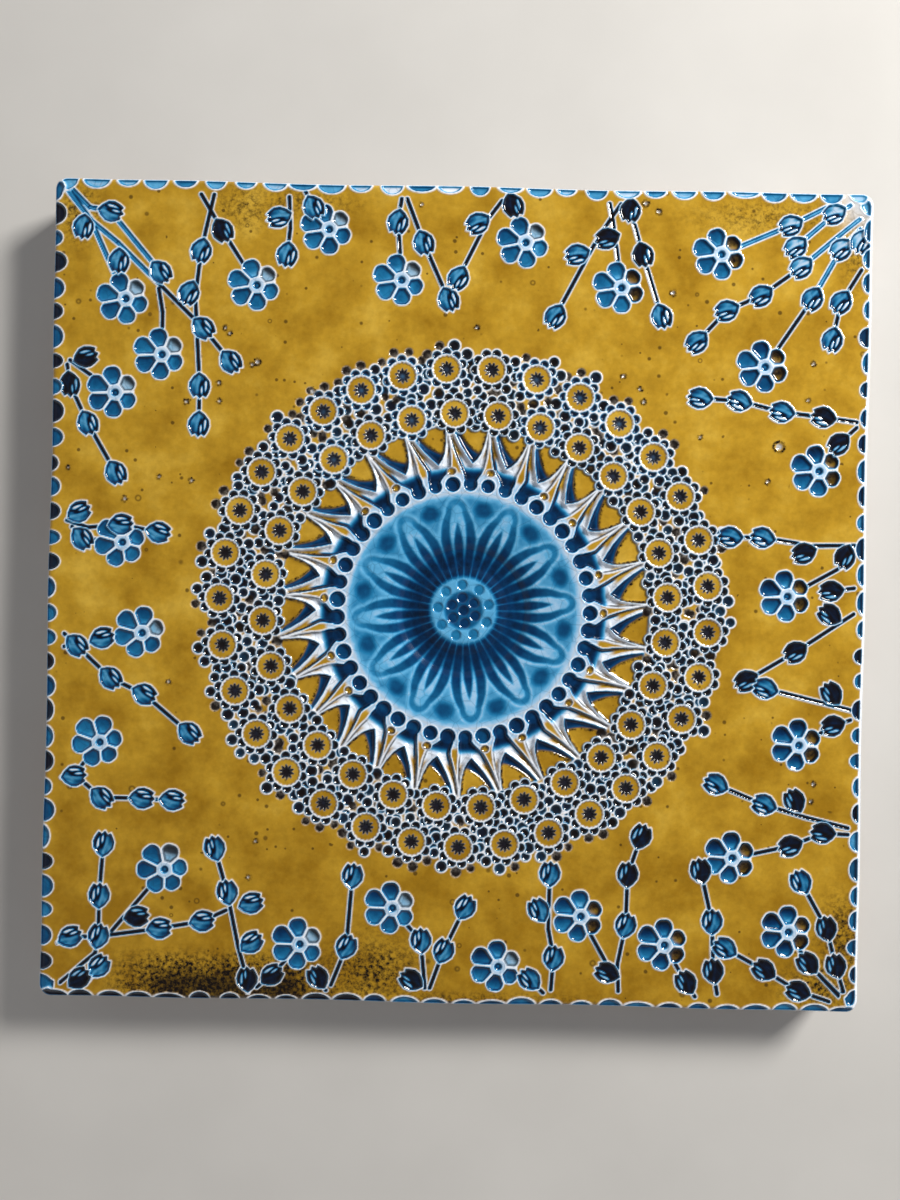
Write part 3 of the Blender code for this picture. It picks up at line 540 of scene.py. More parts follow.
def draw_bud(x, y, pointing, tone):
    here, dx, dy = around(x, y, 3.6)
    along, across = turned(dx, dy, pointing)
    inside = inside_polygon(along, across, list(BUD_OUTLINE)) - 0.05
    folds = 0.13 * np.sin(across * 5.4 + along * 1.1) - 0.15 * soft(along, 0.6, -1.5)
    folds = folds - 0.26 * hump(across, -0.75, 0.40) * hump(along, -0.3, 1.2)
    folds = folds + 0.10 * soft(across, -0.9, -1.5)
    body = tone + folds * soft(tone, 1.10, 0.75)
    edge = np.maximum(soft(inside, 0.34, 0.12), 0.85 * soft(along, 1.0, 1.9))
    body = body + (0.97 - body) * edge
    scum = 0.15 + 0.5 * soft(tone, 0.8, 0.9) * soft(body, 0.7, 0.95)
    hollow(here, inside, BUD_DEPTH, body, smoke=scum)
    for u, v, long, wide, lean in BUD_SLITS:
        slit_along, slit_across = turned(along - u, across - v, -lean)
        ridge = (1.0 - np.hypot(slit_along / long, slit_across / wide)) * wide
        cover = soft(ridge, -0.36, -0.14) * soft(inside, 0.0, 0.15)
        press(here, cover, blue=0.97, sunk=BUD_DEPTH)
        floor = 0.03 + max(tone - 0.8, 0.0)
        press(here, soft(ridge, -0.05, 0.14), blue=floor, smoke=0.10, sunk=0.12)


def draw_spray_flower(x, y, stamped_at, tone, dark_petals):
    here, dx, dy = around(x, y, 6.0)
    from_eye = np.hypot(dx, dy)
    petals = []
    for k, (turn, reach) in enumerate(SPRAY_PETALS):
        along, across = turned(dx, dy, stamped_at + turn)
        # straight sides that leave a web of one width to the next petals, and a blunt
        # head with round corners
        to_sides = SPRAY_PETAL_HALF - 0.12 * (4.6 - reach) - np.abs(across)
        to_next = SPRAY_PETALS[(k + 1) % len(SPRAY_PETALS)][0] - turn
        for way, other in ((1, to_next), (-1, turn - SPRAY_PETALS[k - 1][0])):
            half = math.radians(other % 360.0) / 2
            to_web = along * math.sin(half) - way * across * math.cos(half) - SPRAY_WEB / 2
            to_sides = np.minimum(to_sides, to_web)
        to_head = reach - along - 0.10 * across ** 2
        round_off = [np.maximum(SPRAY_PETAL_CORNER - far, 0.0) for far in (to_sides, to_head)]
        corner = np.hypot(*round_off)
        inside = np.minimum(to_sides, to_head)
        inside = np.where(corner > 0.0, SPRAY_PETAL_CORNER - corner, inside)
        inside = np.minimum(inside, along - SPRAY_PETAL_FOOT)
        petals.append((turn, along, inside))
    # the bare web between the petals is raised as one
    web = np.maximum.reduce([inside for _, _, inside in petals])
    web = np.maximum(web, np.minimum(3.2 - from_eye, web + 0.35))
    raise_lip(here, web, LIP_WIDTH)
    for turn, along, inside in petals:
        heading = (stamped_at + turn + 180.0) % 360.0 - 180.0
        foot = soft(along, 3.1, 1.7)
        floor = tone + 0.10 * soft(inside, 0.55, 0.05) - 0.16 * foot * soft(inside, 0.1, 0.5)
        if heading < -60.0 or heading > 120.0:
            floor = floor + 0.10 * foot
        # painted shade: each hollow is drawn darker on its upper side and paler on its lower side, more
        # so towards the lower right
        upward = dy - 3.0 * math.sin(math.radians(stamped_at + turn))
        lean = 0.08 + 1.6 * max(tone - 0.60, 0.0)
        floor = floor + lean * np.clip(upward / 1.2, -1.0, 1.0) + 0.05 * chance.standard_normal()
        floor = floor + (0.93 - floor) * soft(inside, 0.26, 0.06)
        wall = soft(inside, -0.07, 0.10)
        depth = SPRAY_PETAL_DEPTH * soft(inside, -0.05, 0.55)
        burnt = 0.0
        browned = 0.0
        if dark_petals[0] < heading < dark_petals[1] and x < 20.0:
            # a petal that came out grey, with a dark head
            head = soft(along + 0.5 * upward, 2.1, 3.5)
            burnt = 0.93 * np.maximum(head, soft(inside, 0.55, 0.15))
            floor, browned = 0.22, 0.12
        elif dark_petals[0] < heading < dark_petals[1]:
            # one that came out brown to black, the black drawn on its upper side as painted shade
            browned = 0.62 - 0.55 * soft(inside, 0.7, 0.1) - 0.30 * soft(along, 2.2, 3.6)
            burnt = 0.90 * soft(upward, -1.0, 0.3)
            floor = 1.0 - 0.5 * foot
        press(here, wall, sunk=depth, blue=floor, amber=browned, smoke=burnt)
    press(here, soft(from_eye, 1.42, 1.22), sunk=-LIP_HEIGHT, blue=0.13, amber=0.0, smoke=0.0)
    press(here, soft(from_eye, 0.74, 0.56), sunk=0.22, blue=0.80 - 0.30 * hump(from_eye, 0.0, 0.3))


def bud_tone(x, y):
    if listed(x, y, BLACK_BUDS):
        return 0.95
    if listed(x, y, PALE_BUDS):
        return 0.38
    return 0.60 + 0.06 * (x - y) / SIDE


stem_marks, bud_marks, flower_marks = [], [], []
for root, *stations in STEMS:
    line = [root]
    for mark in stations:
        x, y = mark[:2]
        before = line[-1]
        line.append((x, y))
        if len(mark) == 3:
            flower_marks.append(mark)
        elif isinstance(mark, tuple) and not listed(x, y, [bud[:2] for bud in bud_marks]):
            bud_marks.append((x, y, math.degrees(math.atan2(y - before[1], x - before[0]))))
    stem_marks.append(line)
bud_marks += SIDE_BUDS

strokes = []
for line in stem_marks:
    x, y = line[0]
    # in the upper corners the glaze is thin over the stems, so they look pale and broad
    thin_tone, thin_half_width, thin_for = STEM_TONE, STEM_HALF_WIDTH, 0.0
    if math.hypot(x + 74, y - 74) < 10.0:
        thin_tone, thin_half_width, thin_for = 0.40, 0.37, 20.0
    if math.hypot(x - 72, y - 72) < 9.0:
        thin_tone, thin_half_width, thin_for = 0.32, 0.36, 14.0
    for start, end in zip(line, line[1:]):
        tone, half_width = STEM_TONE, STEM_HALF_WIDTH
        if math.hypot(start[0] - x, start[1] - y) < thin_for:
            tone, half_width = thin_tone, thin_half_width
        here, far = along_stem(on_tile(*start), on_tile(*end))
        strokes.append((here, half_width - far, tone))
for here, inside, tone in strokes:
    raise_lip(here, inside, STEM_LIP, LIP_HEIGHT * 0.8)
for here, inside, tone in strokes:
    floor = tone + (STEM_TONE - tone) * soft(inside, 0.24, 0.06)
    depth = STEM_DEPTH * soft(inside, -0.1, 0.35)
    smoke = 0.8 * soft(tone, 0.5, 0.9)
    press(here, soft(inside, -0.16, 0.0), smoke=smoke)
    press(here, soft(inside, -0.07, 0.09), sunk=depth, blue=floor, smoke=smoke)
for x, y, stamped_at in flower_marks:
    tone = 0.58 + 0.12 * soft(x - y, -40.0, 130.0)
    dark_petals = (-55.0, 80.0) if x > 20.0 else (20.0, 75.0)
    draw_spray_flower(*on_tile(x, y), stamped_at, tone, dark_petals)
for x, y, pointing in bud_marks:
    draw_bud(*on_tile(x, y), pointing, bud_tone(x, y))

# The scalloped rim. A row of half-round hollows pressed along each side with the end of
# a tube. The glaze in them is sky blue along the top, teal and brown on the left, mostly
# white on the right and cobalt with brown along the bottom.
# side's turn, count, how far in they start, reach, share of the pitch, and two glazes that
# take turns, each its thickness and its scum
SCALLOPS = (
    (0.0, 31, 0.75, 1.55, 0.72, (0.58, 0.10), (0.75, 0.45)),
    (90.0, 28, 0.40, 1.55, 0.82, (0.25, 0.00), (0.40, 0.00)),
    (180.0, 33, 0.20, 2.05, 0.78, (0.55, 0.05), (0.70, 0.85)),
    (270.0, 28, 0.15, 1.25, 0.84, (0.50, 0.00), (0.66, 0.25)),
)
rim_x, rim_y = np.meshgrid(axis, axis)
to_side = HALF - np.maximum(np.abs(rim_x), np.abs(rim_y))
everything = (slice(None), slice(None))
# a white strip along every edge, wider along the right
white_strip = np.maximum(soft(to_side, 0.40, 0.12), soft(HALF - rim_x, 1.05, 0.75))
press(everything, white_strip, blue=0.04, amber=0.0, smoke=0.0)
for side_turn, count, set_in, reach, share, *glazes in SCALLOPS:
    pitch = SIDE / count
    cos, sin = math.cos(math.radians(side_turn)), math.sin(math.radians(side_turn))
    for k in range(count):
        along = -HALF + pitch * (k + 0.5) + chance.uniform(-0.3, 0.3)
        start = HALF - set_in
        x, y = start * cos - along * sin, start * sin + along * cos
        here, dx, dy = around(x, y, 4.2)
        outward, sideways = turned(dx, dy, side_turn)
        half_width = pitch / 2 * share * chance.uniform(0.72, 1.15)
        far = reach * chance.uniform(0.65, 1.15)
        inside = (1.0 - np.hypot(sideways / half_width, outward / far)) * far
        inside = np.minimum(inside, -0.12 - outward)
        tone, smoke = glazes[k % 2] if chance.random() < 0.8 else glazes[0]
        burnt = side_turn == 270.0 and x < -18.0
        tone, smoke = (0.95, 0.55) if burnt else (tone + 0.07 * chance.standard_normal(), smoke)
        floor = tone + (0.95 - tone) * soft(inside, 0.30, 0.05) * 0.6
        # painted highlight: a paler band a little inside each hollow
        floor = floor - 0.2 * hump(inside, far * 0.6, 0.25)
        hollow(here, inside, 0.35, floor, smoke=smoke)
detail |= to_side < 3.0  # the mesh is fine all along the rim

# Marks of the firing. The glaze boiled and went black over a patch near the lower left
# edge, and it is paler, near white, in the upper right corner. Small bubbles burst in it.
# Each smaller patch: its middle, its half width and half height, and how black it went.
burn = soft(rim_x, -66.0, -50.0) * soft(rim_x, -16.0, -30.0)
burn = burn * (0.62 * soft(rim_y, -64.5, -69.5) + 0.33 * soft(rim_y, -67.5, -72.0))
for x, y, long, tall, strength in (
    (-14.0, -69.0, 8.0, 5.0, 0.55), (72.0, -62.0, 4.0, 7.0, 0.55), (69.0, -70.0, 7.0, 4.0, 0.5),
    (-28.0, -72.0, 8.0, 3.5, 0.8), (-70.0, 68.0, 3.5, 4.5, 0.5), (72.0, 66.0, 3.0, 7.0, 0.35),
    (3.0, -74.5, 22.0, 1.6, 0.45), (-30.0, 71.0, 9.0, 2.5, 0.30), (-40.0, 70.0, 5.0, 4.0, 0.30),
    (56.0, 70.0, 12.0, 3.0, 0.28),
):
    burn = np.maximum(burn, strength * hump(rim_x, x, long) * hump(rim_y, y, tall))
face["smoke"] += burn * 0.97 * face["amber"] * (1.0 - face["smoke"])
paler_corner = soft(np.hypot(rim_x - HALF, rim_y - HALF), 11.0, 3.0)
face["amber"] -= face["amber"] * paler_corner * 0.8
face["blue"] += (0.12 - face["blue"]) * paler_corner * 0.35
# each burst bubble's place and radius
BUBBLES = (
    (58.6, 28.5, 0.95), (33, 73.2, 0.55), (35.5, 71.6, 0.45), (38.4, 56.6, 0.5), (64.7, 44, 0.4),
    (32.6, 38.6, 0.4), (33.4, 36.3, 0.45), (29.5, 41, 0.4), (56.6, 22, 0.4), (66.2, -33.8, 0.45),
    (65.8, -37, 0.4), (2.2, 49.4, 0.4), (-38.3, 42.2, 0.6), (-39.2, 41.7, 0.4), (-51.3, 34.6, 0.45),
    (-45.3, 38.2, 0.4), (-45.2, 34.8, 0.4), (-62.3, 16.4, 0.45), (-50, 20, 0.4), (-53.5, -17.3, 0.4),
    (-36.8, -46.5, 0.35), (-38, -53.2, 0.4), (44, 30, 0.35), (63.8, 37.2, 0.35), (-73, 22, 0.3),
    (-44.3, 48.4, 0.35), (-43.5, 47.4, 0.35), (-56, 20.6, 0.35), (-28, 37, 0.6), (-8.4, 72, 0.35),
)
for x, y, size in BUBBLES:
    x, y = on_tile(x, y)
    here, dx, dy = around(x, y, 2.2)
    far = np.hypot(dx, dy)
    press(here, hump(far, size, 0.22) * 0.9, smoke=0.9, sunk=-0.05)
    press(here, soft(far, size * 0.75, size * 0.4), smoke=0.15, blue=0.10, amber=0.35, sunk=0.18)

# The fired face. The clay map above becomes one fine surface, in several pieces that
# meet sample to sample: the rosette, the leaf ring, the two flower rings and the sprays of
# each side. Where nothing was pressed the mesh is coarser.
CELLS = 188  # coarse cells along a side; a cell with detail is split in 4 by 4
CELL = SIDE / CELLS
SPLIT = 4
POINTS = CELLS * SPLIT + 1
FACE_LEVEL = 10.0
SHOULDER = 1.1  # how far in from the side the face starts to round over
EDGE_DROP = 1.2
CORNER_RADIUS = 2.2
CORNER_REACH = 4.0  # the grid is bent this many radii in from a corner
CORNER_BLEND = 2.5  # and the points of the arc are drawn from this many along the side
EDGE_WAVE_DEPTH = 0.25
EDGE_WAVE_LENGTH = 50.0
EDGE_WAVE_REACH = 8.0  # how far in from the side the wave is felt
EDGE_WAVE_FADE = 20.0  # how far from a corner it starts to fade
MAP_MARGIN = 0.01
ROSETTE_END = 32.6  # from the rosette's middle, where the leaf ring's piece ends
INNER_RING_END = 40.4
OUTER_RING_END = 50.8

shoulder = np.clip(1.0 - to_side / SHOULDER, 0.0, 1.0)
height = FACE_LEVEL - face["sunk"]
height -= EDGE_DROP * (1.0 - np.sqrt(1.0 - np.minimum(shoulder, 0.999) ** 2))
height = np.minimum(height, box_high.z / MM - 0.005)


def sample(layer, x, y):
    """A layer of the drawing, read between its samples."""
    col = np.clip((x + HALF) / PITCH, 0.0, COUNT - 1.001)
    row = np.clip((y + HALF) / PITCH, 0.0, COUNT - 1.001)
    c, r = col.astype(int), row.astype(int)
    fc, fr = col - c, row - r
    low = layer[r, c] * (1 - fc) + layer[r, c + 1] * fc
    high = layer[r + 1, c] * (1 - fc) + layer[r + 1, c + 1] * fc
    return low * (1 - fr) + high * fr


def to_outline(x, y):
    """Carries the square's places onto the tile's own outline, with round corners."""
    near = CORNER_REACH * CORNER_RADIUS
    inner = HALF - near
    a, b = np.abs(x) - inner, np.abs(y) - inner
    corner = (a > 0) & (b > 0)
    ring = np.maximum(a, b)
    radius = CORNER_RADIUS * np.clip(ring / near, 1e-6, 1.0)
    from_corner = ring - np.minimum(a, b)
    zone = np.clip(CORNER_BLEND * radius, 1e-6, np.maximum(ring, 1e-6))
    arc = math.pi / 4 * radius
    path = np.clip(from_corner / zone, 0.0, 1.0) * (arc + zone - radius)
    turn = math.pi / 4 - np.minimum(path, arc) / np.maximum(radius, 1e-6)
    past = path > arc
    far_off = from_corner >= zone
    long = np.where(past | far_off, ring, ring - radius + radius * np.cos(turn))
    short = ring - radius + np.where(past, arc - path, radius * np.sin(turn))
    short = np.where(far_off, np.minimum(a, b), short)
    out = []
    for here, across, wider in ((x, y, a >= b), (y, x, b > a)):
        moved = np.where(corner, np.sign(here) * (inner + np.where(wider, long, short)), here)
        wave = 0.5 - 0.5 * np.cos(math.tau * across / EDGE_WAVE_LENGTH)
        bow = EDGE_WAVE_DEPTH * wave * soft(np.abs(across), HALF, HALF - EDGE_WAVE_FADE)
        bow = bow * soft(np.abs(here), HALF - EDGE_WAVE_REACH, HALF)
        out.append(moved - np.sign(here) * bow)
    return out


def split_levels(wanted):
    """How often each cell is halved, so that neighbours differ by one step at most."""
    levels = wanted.copy()
    for _ in range(2):
        padded = np.pad(levels, 1, mode="edge")
        beside = (padded[:-2, 1:-1], padded[2:, 1:-1], padded[1:-1, :-2], padded[1:-1, 2:])
        levels = np.maximum(levels, np.maximum.reduce(beside) - 1)
    return levels


def cell_faces(levels, chosen):
    """Faces of the chosen coarse cells, as corner numbers on the finest grid."""
    padded = np.pad(levels, 1, mode="edge")
    groups = {}
    for level in range(3):
        size = SPLIT >> level
        rows, cols = np.nonzero((levels == level) & chosen)
        if not len(rows):
            continue
        parts = 1 << level
        sub_r, sub_c = np.meshgrid(np.arange(parts), np.arange(parts), indexing="ij")
        r = (rows[:, None] * SPLIT + sub_r.ravel()[None] * size).ravel()
        c = (cols[:, None] * SPLIT + sub_c.ravel()[None] * size).ravel()
        sub_r, sub_c = (np.tile(s.ravel(), len(rows)) for s in (sub_r, sub_c))
        at = [np.repeat(padded[rows + dr, cols + dc] > level, parts * parts)
              for dr, dc in ((0, 1), (1, 2), (2, 1), (1, 0))]
        finer = (
            at[0] & (sub_r == 0), at[1] & (sub_c == parts - 1),
            at[2] & (sub_r == parts - 1), at[3] & (sub_c == 0),
        )
        half = size // 2
        corners = ((0, 0), (0, size), (size, size), (size, 0))
        middles = ((0, half), (half, size), (size, half), (half, 0))
        kind = sum(f.astype(int) << n for n, f in enumerate(finer))
        for code in np.unique(kind):
            pick = kind == code
            loop = []
            for n in range(4):
                loop.append((r[pick] + corners[n][0]) * POINTS + c[pick] + corners[n][1])
                if code >> n & 1:
                    loop.append((r[pick] + middles[n][0]) * POINTS + c[pick] + middles[n][1])
            groups.setdefault(len(loop), []).append(np.stack(loop, 1))
    return [np.concatenate(group) for _, group in sorted(groups.items())]


def add_object(name, data):
    made = bpy.data.objects.new(name, data)
    bpy.context.scene.collection.objects.link(made)
    return made


def make_mesh(name, faces, place, normal=None, **layers):
    """A mesh of the given faces, with a smooth normal and layers on its points.

    A piece of the face also gets a flat map, seen from above.
    """
    every = np.concatenate([group.ravel() for group in faces])
    used, renumbered = np.unique(every, return_inverse=True)
    sizes = np.concatenate([np.full(len(group), group.shape[1]) for group in faces])
    mesh = bpy.data.meshes.new(name)
    mesh.vertices.add(len(used))
    mesh.vertices.foreach_set("co", (place[used] * MM).astype(np.float32).ravel())
    mesh.loops.add(len(renumbered))
    mesh.loops.foreach_set("vertex_index", renumbered.astype(np.int32))
    mesh.polygons.add(len(sizes))
    mesh.polygons.foreach_set("loop_start", (np.cumsum(sizes) - sizes).astype(np.int32))
    mesh.update(calc_edges=True)
    mesh.shade_smooth()
    for layer, values in layers.items():
        attribute = mesh.attributes.new(layer, "FLOAT", "POINT")
        attribute.data.foreach_set("value", values[used].astype(np.float32))
    if normal is not None:
        mesh.normals_split_custom_set_from_vertices(normal[used].astype(np.float32))
        seen = place[used][renumbered][:, :2]
        low, high = seen.min(0), seen.max(0)
        seen = MAP_MARGIN + (1 - 2 * MAP_MARGIN) * (seen - low) / (high - low)
        flat = mesh.uv_layers.new(name="OFBake")
        flat.data.foreach_set("uv", seen.astype(np.float32).ravel())
    return add_object(name, mesh)


grid = np.linspace(-HALF, HALF, POINTS)
grid_x, grid_y = (g.ravel() for g in np.meshgrid(grid, grid))
place = np.stack([*to_outline(grid_x, grid_y), sample(height, grid_x, grid_y)], 1)
layers = {name: sample(face[name], grid_x, grid_y) for name in ("blue", "amber", "smoke")}

# one normal for each point of the whole face, so that no seam shows between pieces
tangent_x = np.gradient(place.reshape(POINTS, POINTS, 3), axis=1)
tangent_y = np.gradient(place.reshape(POINTS, POINTS, 3), axis=0)
normal = np.cross(tangent_x, tangent_y).reshape(-1, 3)
normal /= np.maximum(np.linalg.norm(normal, axis=1, keepdims=True), 1e-9)

# a cell is split where there is detail in it or up to 3 samples from it
busy = np.zeros((CELLS, CELLS), bool)
edges = np.linspace(0, COUNT - 1, CELLS + 1).astype(int)
for row in range(CELLS):
    band = detail[max(edges[row] - 3, 0):edges[row + 1] + 4].any(0)
    for col in range(CELLS):
        busy[row, col] = band[max(edges[col] - 3, 0):edges[col + 1] + 4].any()
levels = split_levels(np.where(busy, 2, 0))

middle = (np.arange(CELLS) + 0.5) * CELL - HALF
cell_x, cell_y = np.meshgrid(middle, middle)
from_rosette = np.hypot(cell_x - ROSETTE_X, cell_y - ROSETTE_Y)
upper, lower = cell_y > np.abs(cell_x), cell_y <= -np.abs(cell_x)
lefter = (cell_x <= -np.abs(cell_y)) & ~upper & ~lower
field = from_rosette >= OUTER_RING_END
regions = {
    "rosette": from_rosette < BOWL_RADIUS,
    "leaf_ring": (from_rosette >= BOWL_RADIUS) & (from_rosette < ROSETTE_END),
    "inner_flower_ring": (from_rosette >= ROSETTE_END) & (from_rosette < INNER_RING_END),
    "outer_flower_ring": (from_rosette >= INNER_RING_END) & ~field,
    "sprays_above": field & upper,
    "sprays_right": field & ~(upper | lower | lefter),
    "sprays_below": field & lower,
    "sprays_left": field & lefter,
}


def linear(code):
    """An sRGB hex colour as linear values."""
    parts = [int(code[i:i + 2], 16) / 255 for i in (1, 3, 5)]
    return [p / 12.92 if p <= 0.04045 else ((p + 0.055) / 1.055) ** 2.4 for p in parts] + [1.0]


def new_material(name):
    """A material, its node tree and its surface shader."""
    material = bpy.data.materials.new(name)
    material.use_nodes = True
    return material, material.node_tree, material.node_tree.nodes["Principled BSDF"]


def node(tree, kind, links, out=0, stops=(), **settings):
    """Adds a node with its settings, what feeds its inputs, and the stops of a ramp.

    Inputs 1 to 4 of a Map Range node are the range it reads and the range it gives, and
    inputs 6 and 7 and output 2 of a Mix node are its colours.
    """
    made = tree.nodes.new("ShaderNode" + kind)
    for name, value in settings.items():
        setattr(made, name, value)
    for socket, source in links.items():
        if isinstance(source, bpy.types.NodeSocket):
            tree.links.new(source, made.inputs[socket])
        else:
            made.inputs[socket].default_value = source
    for n, (at, colour) in enumerate(stops):
        stop = made.color_ramp.elements[n] if n < 2 else made.color_ramp.elements.new(at)
        stop.position = at
        stop.color = linear(colour)
    return made.outputs[out]


# Majolica glaze: a soft lead glaze with metal oxides, poured on and fired glossy. It is
# thin and white over every lip and deep blue to black where it stands in the hollows.
BLUES = (
    (0.00, "#F3F5FB"), (0.10, "#C4D8EE"), (0.27, "#5EABD8"), (0.45, "#2178A9"),
    (0.60, "#0D5583"), (0.74, "#03325E"), (0.86, "#041B36"), (1.00, "#06070B"),
)
AMBERS = ((0.28, "#9C7315"), (0.52, "#BC9228"), (0.72, "#D1A93E"))
SCUM = "#150E0C"
SPECK = "#33200C"
CRAZING = "#0B3A5C"

GLAZE_IOR = 1.52
PER_MM = 1 / MM  # the texture scale of a pattern that repeats every millimetre
majolica, tree, shader = new_material("majolica_glaze_over_stamped_clay")
where = node(tree, "TexCoord", {}, "Object")
blue, amber, smoke = (node(tree, "Attribute", {}, "Fac", attribute_name=name) for name in layers)

# the blue glaze stands a little unevenly, in patches of 1.6 mm
patches = node(tree, "TexNoise", {"Vector": where, "Scale": PER_MM / 1.6, "Detail": 3.0})
patches = node(tree, "MapRange", {"Value": patches, 3: -0.45, 4: 0.45})
stands = node(tree, "Math", {0: blue, 1: 0.25}, operation="MINIMUM")
patches = node(tree, "Math", {0: patches, 1: stands}, operation="MULTIPLY")
depth = node(tree, "Math", {0: blue, 1: patches}, operation="ADD", use_clamp=True)
colour = node(tree, "ValToRGB", {"Fac": depth}, stops=BLUES)
# fine cracks where it cooled, drawn a little wider than they are
cracks = {"Vector": where, "Scale": PER_MM / 2.6}
cracks = node(tree, "TexVoronoi", cracks, feature="DISTANCE_TO_EDGE")
cracks = node(tree, "MapRange", {"Value": cracks, 1: 0.04, 2: 0.0, 3: 0.0, 4: 0.28})
colour = node(tree, "Mix", {0: cracks, 6: colour, 7: linear(CRAZING)}, 2, data_type="RGBA")

# the amber glaze is clouded over 9 mm and mottled over 1.3 mm, and it is drawn darker
# towards the lower edge as painted shade
up = node(tree, "SeparateXYZ", {"Vector": where}, "Y")
painted_lower_shade = node(tree, "MapRange", {"Value": up, 1: -HALF * MM, 2: 0.0, 3: 0.14, 4: 0.0})
cloud = {"Vector": where, "Scale": PER_MM / 9.0, "Detail": 4.0, "Roughness": 0.6}
cloud = node(tree, "Math", {0: node(tree, "TexNoise", cloud), 1: painted_lower_shade}, operation="SUBTRACT")
ambers = node(tree, "ValToRGB", {"Fac": cloud}, stops=AMBERS)
mottle = {"Vector": where, "Scale": PER_MM / 1.3, "Detail": 4.0, "Roughness": 0.65}
mottle = node(tree, "TexNoise", mottle)
mottle = node(tree, "ValToRGB", {"Fac": mottle}, stops=((0.35, "#E4E4E4"), (0.62, "#FFFFFF")))
ambers = {0: 0.6, 6: ambers, 7: mottle}
ambers = node(tree, "Mix", ambers, 2, data_type="RGBA", blend_type="MULTIPLY")
colour = node(tree, "Mix", {0: amber, 6: colour, 7: ambers}, 2, data_type="RGBA")

# brown-black scum comes through the amber as grains of 0.7 mm, most where it is half done
grain = {"Vector": where, "Scale": PER_MM / 0.7, "Detail": 3.0, "Roughness": 0.7}
grain = node(tree, "MapRange", {"Value": node(tree, "TexNoise", grain), 3: -8.0, 4: 8.0})
clear = node(tree, "Math", {0: 1.0, 1: smoke}, operation="SUBTRACT")
for factor in (clear, smoke, amber):
    grain = node(tree, "Math", {0: grain, 1: factor}, operation="MULTIPLY")
scum = node(tree, "Math", {0: grain, 1: smoke}, operation="ADD", use_clamp=True)
colour = node(tree, "Mix", {0: scum, 6: colour, 7: linear(SCUM)}, 2, data_type="RGBA")

# fine iron specks, thicker in some places, and bubbles that burst and left a dark ring:
# how far apart in mm, how common, smallest and largest share of that, and their pale middle
crowd = node(tree, "TexNoise", {"Vector": where, "Scale": PER_MM / 14.0, "Detail": 2.0})
crowd = node(tree, "MapRange", {"Value": crowd, 1: 0.30, 2: 1.0, 3: 0.0, 4: 0.77})
for apart, common, least, most, hole in ((1.7, 0.9, 0.08, 0.25, 0.0), (6.0, 2.0, 0.06, 0.12, 0.55)):
    far = node(tree, "TexVoronoi", {"Vector": where, "Scale": PER_MM / apart}, "Distance")
    drawn = node(tree, "SeparateColor", {"Color": far.node.outputs["Color"]}, "Red")
    wanted = node(tree, "Math", {0: crowd, 1: common}, operation="MULTIPLY")
    shown = node(tree, "Math", {0: drawn, 1: wanted}, operation="LESS_THAN")
    size = node(tree, "MapRange", {"Value": drawn.node.outputs["Green"], 3: least, 4: most})
    out = node(tree, "Math", {0: far, 1: size}, operation="DIVIDE")
    dot = node(tree, "MapRange", {"Value": out, 1: 1.2, 2: 0.7, 3: 0.0, 4: 0.72})
    for factor in (shown, amber):
        dot = node(tree, "Math", {0: dot, 1: factor}, operation="MULTIPLY")
    if hole:
        ring = node(tree, "MapRange", {"Value": out, 1: hole - 0.2, 2: hole + 0.2})
        dot = node(tree, "Math", {0: dot, 1: ring}, operation="MULTIPLY")
    colour = node(tree, "Mix", {0: dot, 6: colour, 7: linear(SPECK)}, 2, data_type="RGBA")
tree.links.new(colour, shader.inputs["Base Color"])

# fired glossy, with the slow ripple of a poured glaze
shader.inputs["Roughness"].default_value = 0.10
shader.inputs["IOR"].default_value = GLAZE_IOR
ripple = node(tree, "TexNoise", {"Vector": where, "Scale": PER_MM / 5.0, "Detail": 2.0})
fine = node(tree, "TexNoise", {"Vector": where, "Scale": PER_MM / 0.9, "Detail": 2.0})
ripple = node(tree, "Math", {0: fine, 1: 0.12, 2: ripple}, operation="MULTIPLY_ADD")
bump = node(tree, "Bump", {"Height": ripple, "Distance": 0.10 * MM, "Strength": 0.6})
tree.links.new(bump, shader.inputs["Normal"])

for name, chosen in regions.items():
    piece = make_mesh(name, cell_faces(levels, chosen), place, normal, **layers)
    piece.data.materials.append(majolica)
    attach(piece, "root")
    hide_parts("tile")

# The sides. The slab's edge was cut with a knife, and the white glaze that ran over it
# stops above the shelf of the kiln, so that bare clay shows below. The photograph doesn't
# show it, so it is kept plain.
BACK_BEVEL = 0.6
SIDE_ROWS = 6
last = POINTS - 1
along = np.arange(last)
rim_index = np.concatenate([
    along, along * POINTS + last, POINTS * POINTS - 1 - along, (last - along) * POINTS,
])
top = place[rim_index]
around_rim = len(rim_index)
rows = []
for share in np.linspace(0.0, 1.0, SIDE_ROWS + 1):
    row = top.copy()
    row[:, 2] = top[:, 2] * (1 - share) + BACK_BEVEL * share
    rows.append(row)
bottom = rows[-1].copy()
bottom[:, :2] *= (HALF - BACK_BEVEL) / HALF
bottom[:, 2] = 0.0
rows.append(bottom)
wall = np.concatenate(rows)
start = np.arange(around_rim)
following = (start + 1) % around_rim
quads = np.stack([following, following + around_rim, start + around_rim, start], 1)
quads = np.concatenate([quads + k * around_rim for k in range(SIDE_ROWS + 1)])
sides = make_mesh("glazed_sides", [quads], wall)

